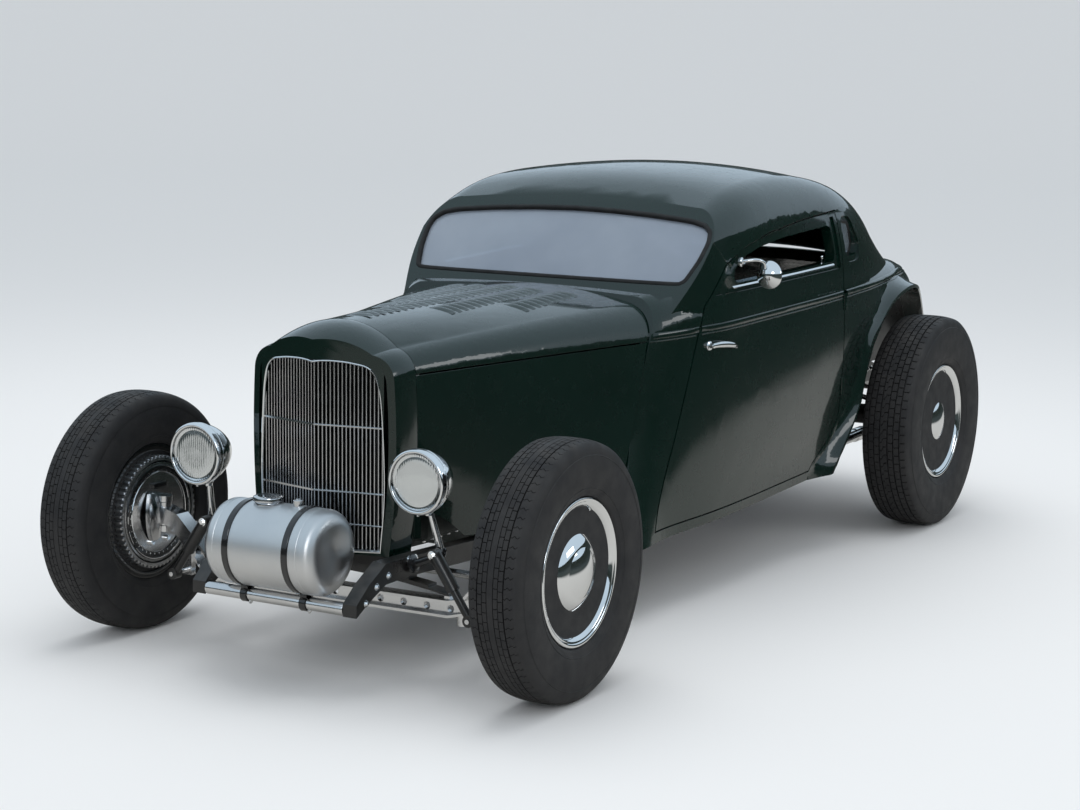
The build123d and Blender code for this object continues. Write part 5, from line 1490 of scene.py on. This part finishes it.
# pleats sewn into the face that looks along seams, fading out at the pad's two ends
def pleatPad(mesh, half, seams):
    s = seatShape
    facing = Vector(seams).normalized()
    normals = [v.normal.copy() for v in mesh.vertices]
    for v, normal in zip(mesh.vertices, normals):
        lean = max(0.0, normal.dot(facing))
        off = (v.co.x + s["pleat"] / 2) % s["pleat"] - s["pleat"] / 2
        edge = min(1.0, max(0.0, (half / 1000 - s["pleatEase"] - abs(v.co.x)) / s["pleatEase"]))
        v.co -= normal * s["pleatDepth"] * lean * edge * 2.718 ** (-(off / s["pleatWidth"]) ** 2)


def makePad(name, outline, half, seams):
    pad = evenPad(name, outline, half)
    swellPad(pad)
    pleatPad(pad.data, half, seams)
    pad.data.polygons.foreach_set("use_smooth", [True] * len(pad.data.polygons))
    pad.data.materials.clear()
    pad.data.materials.append(finishes["leather"])
    bend = pad.modifiers.new("smoother", "SUBSURF")
    bend.levels = bend.render_levels = 1
    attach(pad, "root")
    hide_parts("seat")
    madePieces[name] = pad


def buildSeatBase(bm):
    block(bm, *seatShape["base"], 0, 12, 3)
    (x0, y0, z0), (x1, y1, z1) = seatShape["legs"]
    for sign in (-1, 1):
        block(bm, (min(sign * x0, sign * x1), y0, z0), (max(sign * x0, sign * x1), y1, z1), 0, 3)


makePad("seatCushion", *seatShape["cushion"], seatShape["cushionSeams"])
makePad("seatRest", *seatShape["rest"], seatShape["restSeams"])
makePiece(buildSeatBase, "seatBase", ("leather",), "seat_leather", "root", ("seat",))

steeringShape = {"hub": (330, 1560, 905), "away": (0.057339, 0.86008, 0.506926), "radius": 200, "rim": 12.4,
                 "grips": 30, "spokes": (90, 210, 330)}


def buildSteeringWheel(bm):
    s = steeringShape
    u, v, w = axes(s["away"])
    hub = Vector(s["hub"])
    steps = 120
    line = [hub + (u * cos(2 * pi * i / steps) + v * sin(2 * pi * i / steps)) * s["radius"]
            for i in range(steps)]
    # finger grips moulded in the back of the rim
    sizes = [1.0 - 0.035 * (1 + cos(2 * pi * i * s["grips"] / steps)) / 2 for i in range(steps)]
    sweep(bm, line, circle(s["rim"], 20, 0.94), 0, [w] * steps, closed=True, scale=sizes)
    for a in s["spokes"]:
        way = u * cos(radians(a)) + v * sin(radians(a))
        spoke = [hub + way * r + w * lift for r, lift in ((26, 5), (60, 4), (110, 2), (160, 1), (196, 0))]
        sweep(bm, smoothLine(spoke, 4), circle(9.5, 16, 0.42), 0, w,
              scale=[1.35 - 0.45 * i / 16 for i in range(17)])
    lathe(bm, [(-12, 0), (-12, 30), (4, 33), (11, 31), (15, 26), (16, 22)], hub, w, 48, 0)
    lathe(bm, [(14, 23), (17, 22), (19, 17), (20.5, 9), (21, 0)], hub, w, 48, 1)
    lathe(bm, [(-120, 0), (-120, 9.6), (-12, 9.6), (-12, 0)], hub, w, 24, 1)


makePiece(buildSteeringWheel, "steeringWheel", ("plastic", "chrome"), "wheel_rim_plastic", "steering_wheel",
          ("steering_wheel",))

dials = {"y": 1230, "z": 937, "ticks": 11, "firstTick": -130, "tickStep": 26,
         "places": ((262, 40), (352, 40), (430, 24), (-40, 24), (20, 24))}  # x and radius


def buildDials(bm):
    for x, r in dials["places"]:
        c = (x, dials["y"], dials["z"])
        lathe(bm, [(-2, r - 2), (0, r + 3), (4, r + 3.4), (6.5, r + 1), (6.5, r - 2), (2, r - 3)], c,
              (0, 1, 0), 48, 0, closed=True)
        lathe(bm, [(-1.5, r - 1), (2.2, r - 1), (2.4, 0)], c, (0, 1, 0), 48, 1)
        for k in range(dials["ticks"]):
            t = radians(dials["firstTick"] + dials["tickStep"] * k)
            tick = Vector((x + (r - 6) * sin(t), c[1] + 2.6, c[2] + (r - 6) * cos(t)))
            block(bm, tick - Vector((0.8, 0.4, 0.8)), tick + Vector((0.8, 0.4, 0.8)), 2, 0)
        foot = Vector((x, c[1] + 3.6, c[2]))
        tube(bm, [foot, Vector((x - (r - 8) * 0.6, foot.y, c[2] + (r - 8) * 0.7))], 0.9, 8, 2)
        lathe(bm, [(2.4, 4), (5, 3.6), (5.6, 0)], c, (0, 1, 0), 20, 2)


makePiece(buildDials, "dashDials", ("chrome", "dial", "dark"), "chrome", "root")
print("cabin ready")

# Engine and gearbox as seen from below, and the rear axle's covers.
engineShape = {"z": 342, "top": 790, "front": 250, "rear": 790, "pan": 246,
               "bellBolts": 10, "ribs": (1040, 1100, 1160, 1220, 1270), "panScrews": 12}


def buildEngine(bm):
    z, top, front, rear, pan = (engineShape[key] for key in ("z", "top", "front", "rear", "pan"))
    block(bm, (-150, front, z - 12), (150, rear, 560), 0, 14, 3)
    block(bm, (-226, front + 20, 560), (226, rear - 20, top), 0, 20, 3)
    # oil pan: its flange, shallow in front, a deep sump behind, and its drain plug
    block(bm, (-132, front + 6, z - 20), (132, rear - 6, z - 10), 0, 3)
    sections = []
    for y, low, w in ((front + 12, z - 44, 104), (430, z - 48, 112), (500, z - 84, 116), (760, pan + 6, 116),
                      (rear - 14, z - 80, 112)):
        outline = ((-1, z - 16), (1, z - 16), (0.9, low + 14), (0.78, low), (-0.78, low), (-0.9, low + 14))
        sections.append([Vector((x * w, y, h)) for x, h in outline])
    loft(bm, sections)
    lathe(bm, [(0, 0), (0, 15), (5, 15), (12, 11), (12, 0)], (0, 640, pan + 8), (0, 0, -1), 6, 1)
    # front cover and pulley
    lathe(bm, [(0, 0), (0, 84), (-5, 88), (-12, 84), (-18, 60), (-8, 40), (-8, 0)], (0, front + 2, z + 40),
          (0, 1, 0), 48, 1)
    # bellhousing and gearbox with its ribs and tail
    bell = [(rear - 4, 0), (rear - 4, 176), (rear + 14, 176), (rear + 16, 168), (rear + 60, 156),
            (rear + 150, 97), (rear + 190, 92), (rear + 192, 97), (rear + 204, 97), (rear + 206, 84),
            (1290, 80), (1300, 64), (1420, 52), (1480, 44), (1484, 54), (1499, 54), (1499, 0)]
    lathe(bm, bell, (0, 0, z), (0, 1, 0), 64, 0)
    for k in range(engineShape["bellBolts"]):
        t = 2 * pi * (k + 0.5) / engineShape["bellBolts"]
        bolt(bm, (168 * cos(t) * 0.99, rear + 14, z + 168 * sin(t) * 0.99), (0, 1, 0), 7, 6, 1)
    for y in engineShape["ribs"]:
        lathe(bm, [(y - 4, 79), (y - 3, 87), (y + 3, 87), (y + 4, 79)], (0, 0, z), (0, 1, 0), 48, 0,
              closed=True)


makePiece(buildEngine, "engineAndGearbox", ("iron", "steel"), "engine_iron", "root", ("engine",))


def panScrew(bm):
    lathe(bm, [(0, 6.4), (3.4, 6.4), (4.6, 5.0), (4.6, 0)], (0, 0, 0), (0, 0, 1), 6, 0)


front, rear, count = engineShape["front"] + 22, engineShape["rear"] - 22, engineShape["panScrews"]
places = [(Vector((sign * 124, front + k * (rear - front) / (count - 1), engineShape["z"] - 20)), (0, 0, -1),
           (0, 1, 0), 1.0)
          for k in range(count) for sign in (-1, 1)]
repeatPiece("panScrews", panScrew, places, "steel")

axleCover = {"centre": (0, 2845, 400), "halves": (-16, 16), "bolts": 10, "boltRadius": 117}


# the ribbed half covers and the bolt ring of the rear axle's middle
def buildAxleCover(bm):
    c = Vector(axleCover["centre"])
    for x in axleCover["halves"]:
        lathe(bm, [(x - 5, 110), (x - 5, 124), (x + 5, 124), (x + 5, 110)], c, (1, 0, 0), 64, 0, closed=True)
    for k in range(axleCover["bolts"]):
        t = 2 * pi * (k + 0.5) / axleCover["bolts"]
        for sign in (-1, 1):
            reach = Vector((sign * 21, axleCover["boltRadius"] * cos(t), axleCover["boltRadius"] * sin(t)))
            bolt(bm, c + reach, (sign, 0, 0), 6, 5, 1)


makePiece(buildAxleCover, "axleFlange", ("chassis", "steel"), "black_paint", "root")
print("underside ready")

print("pieces made:", len(madePieces))
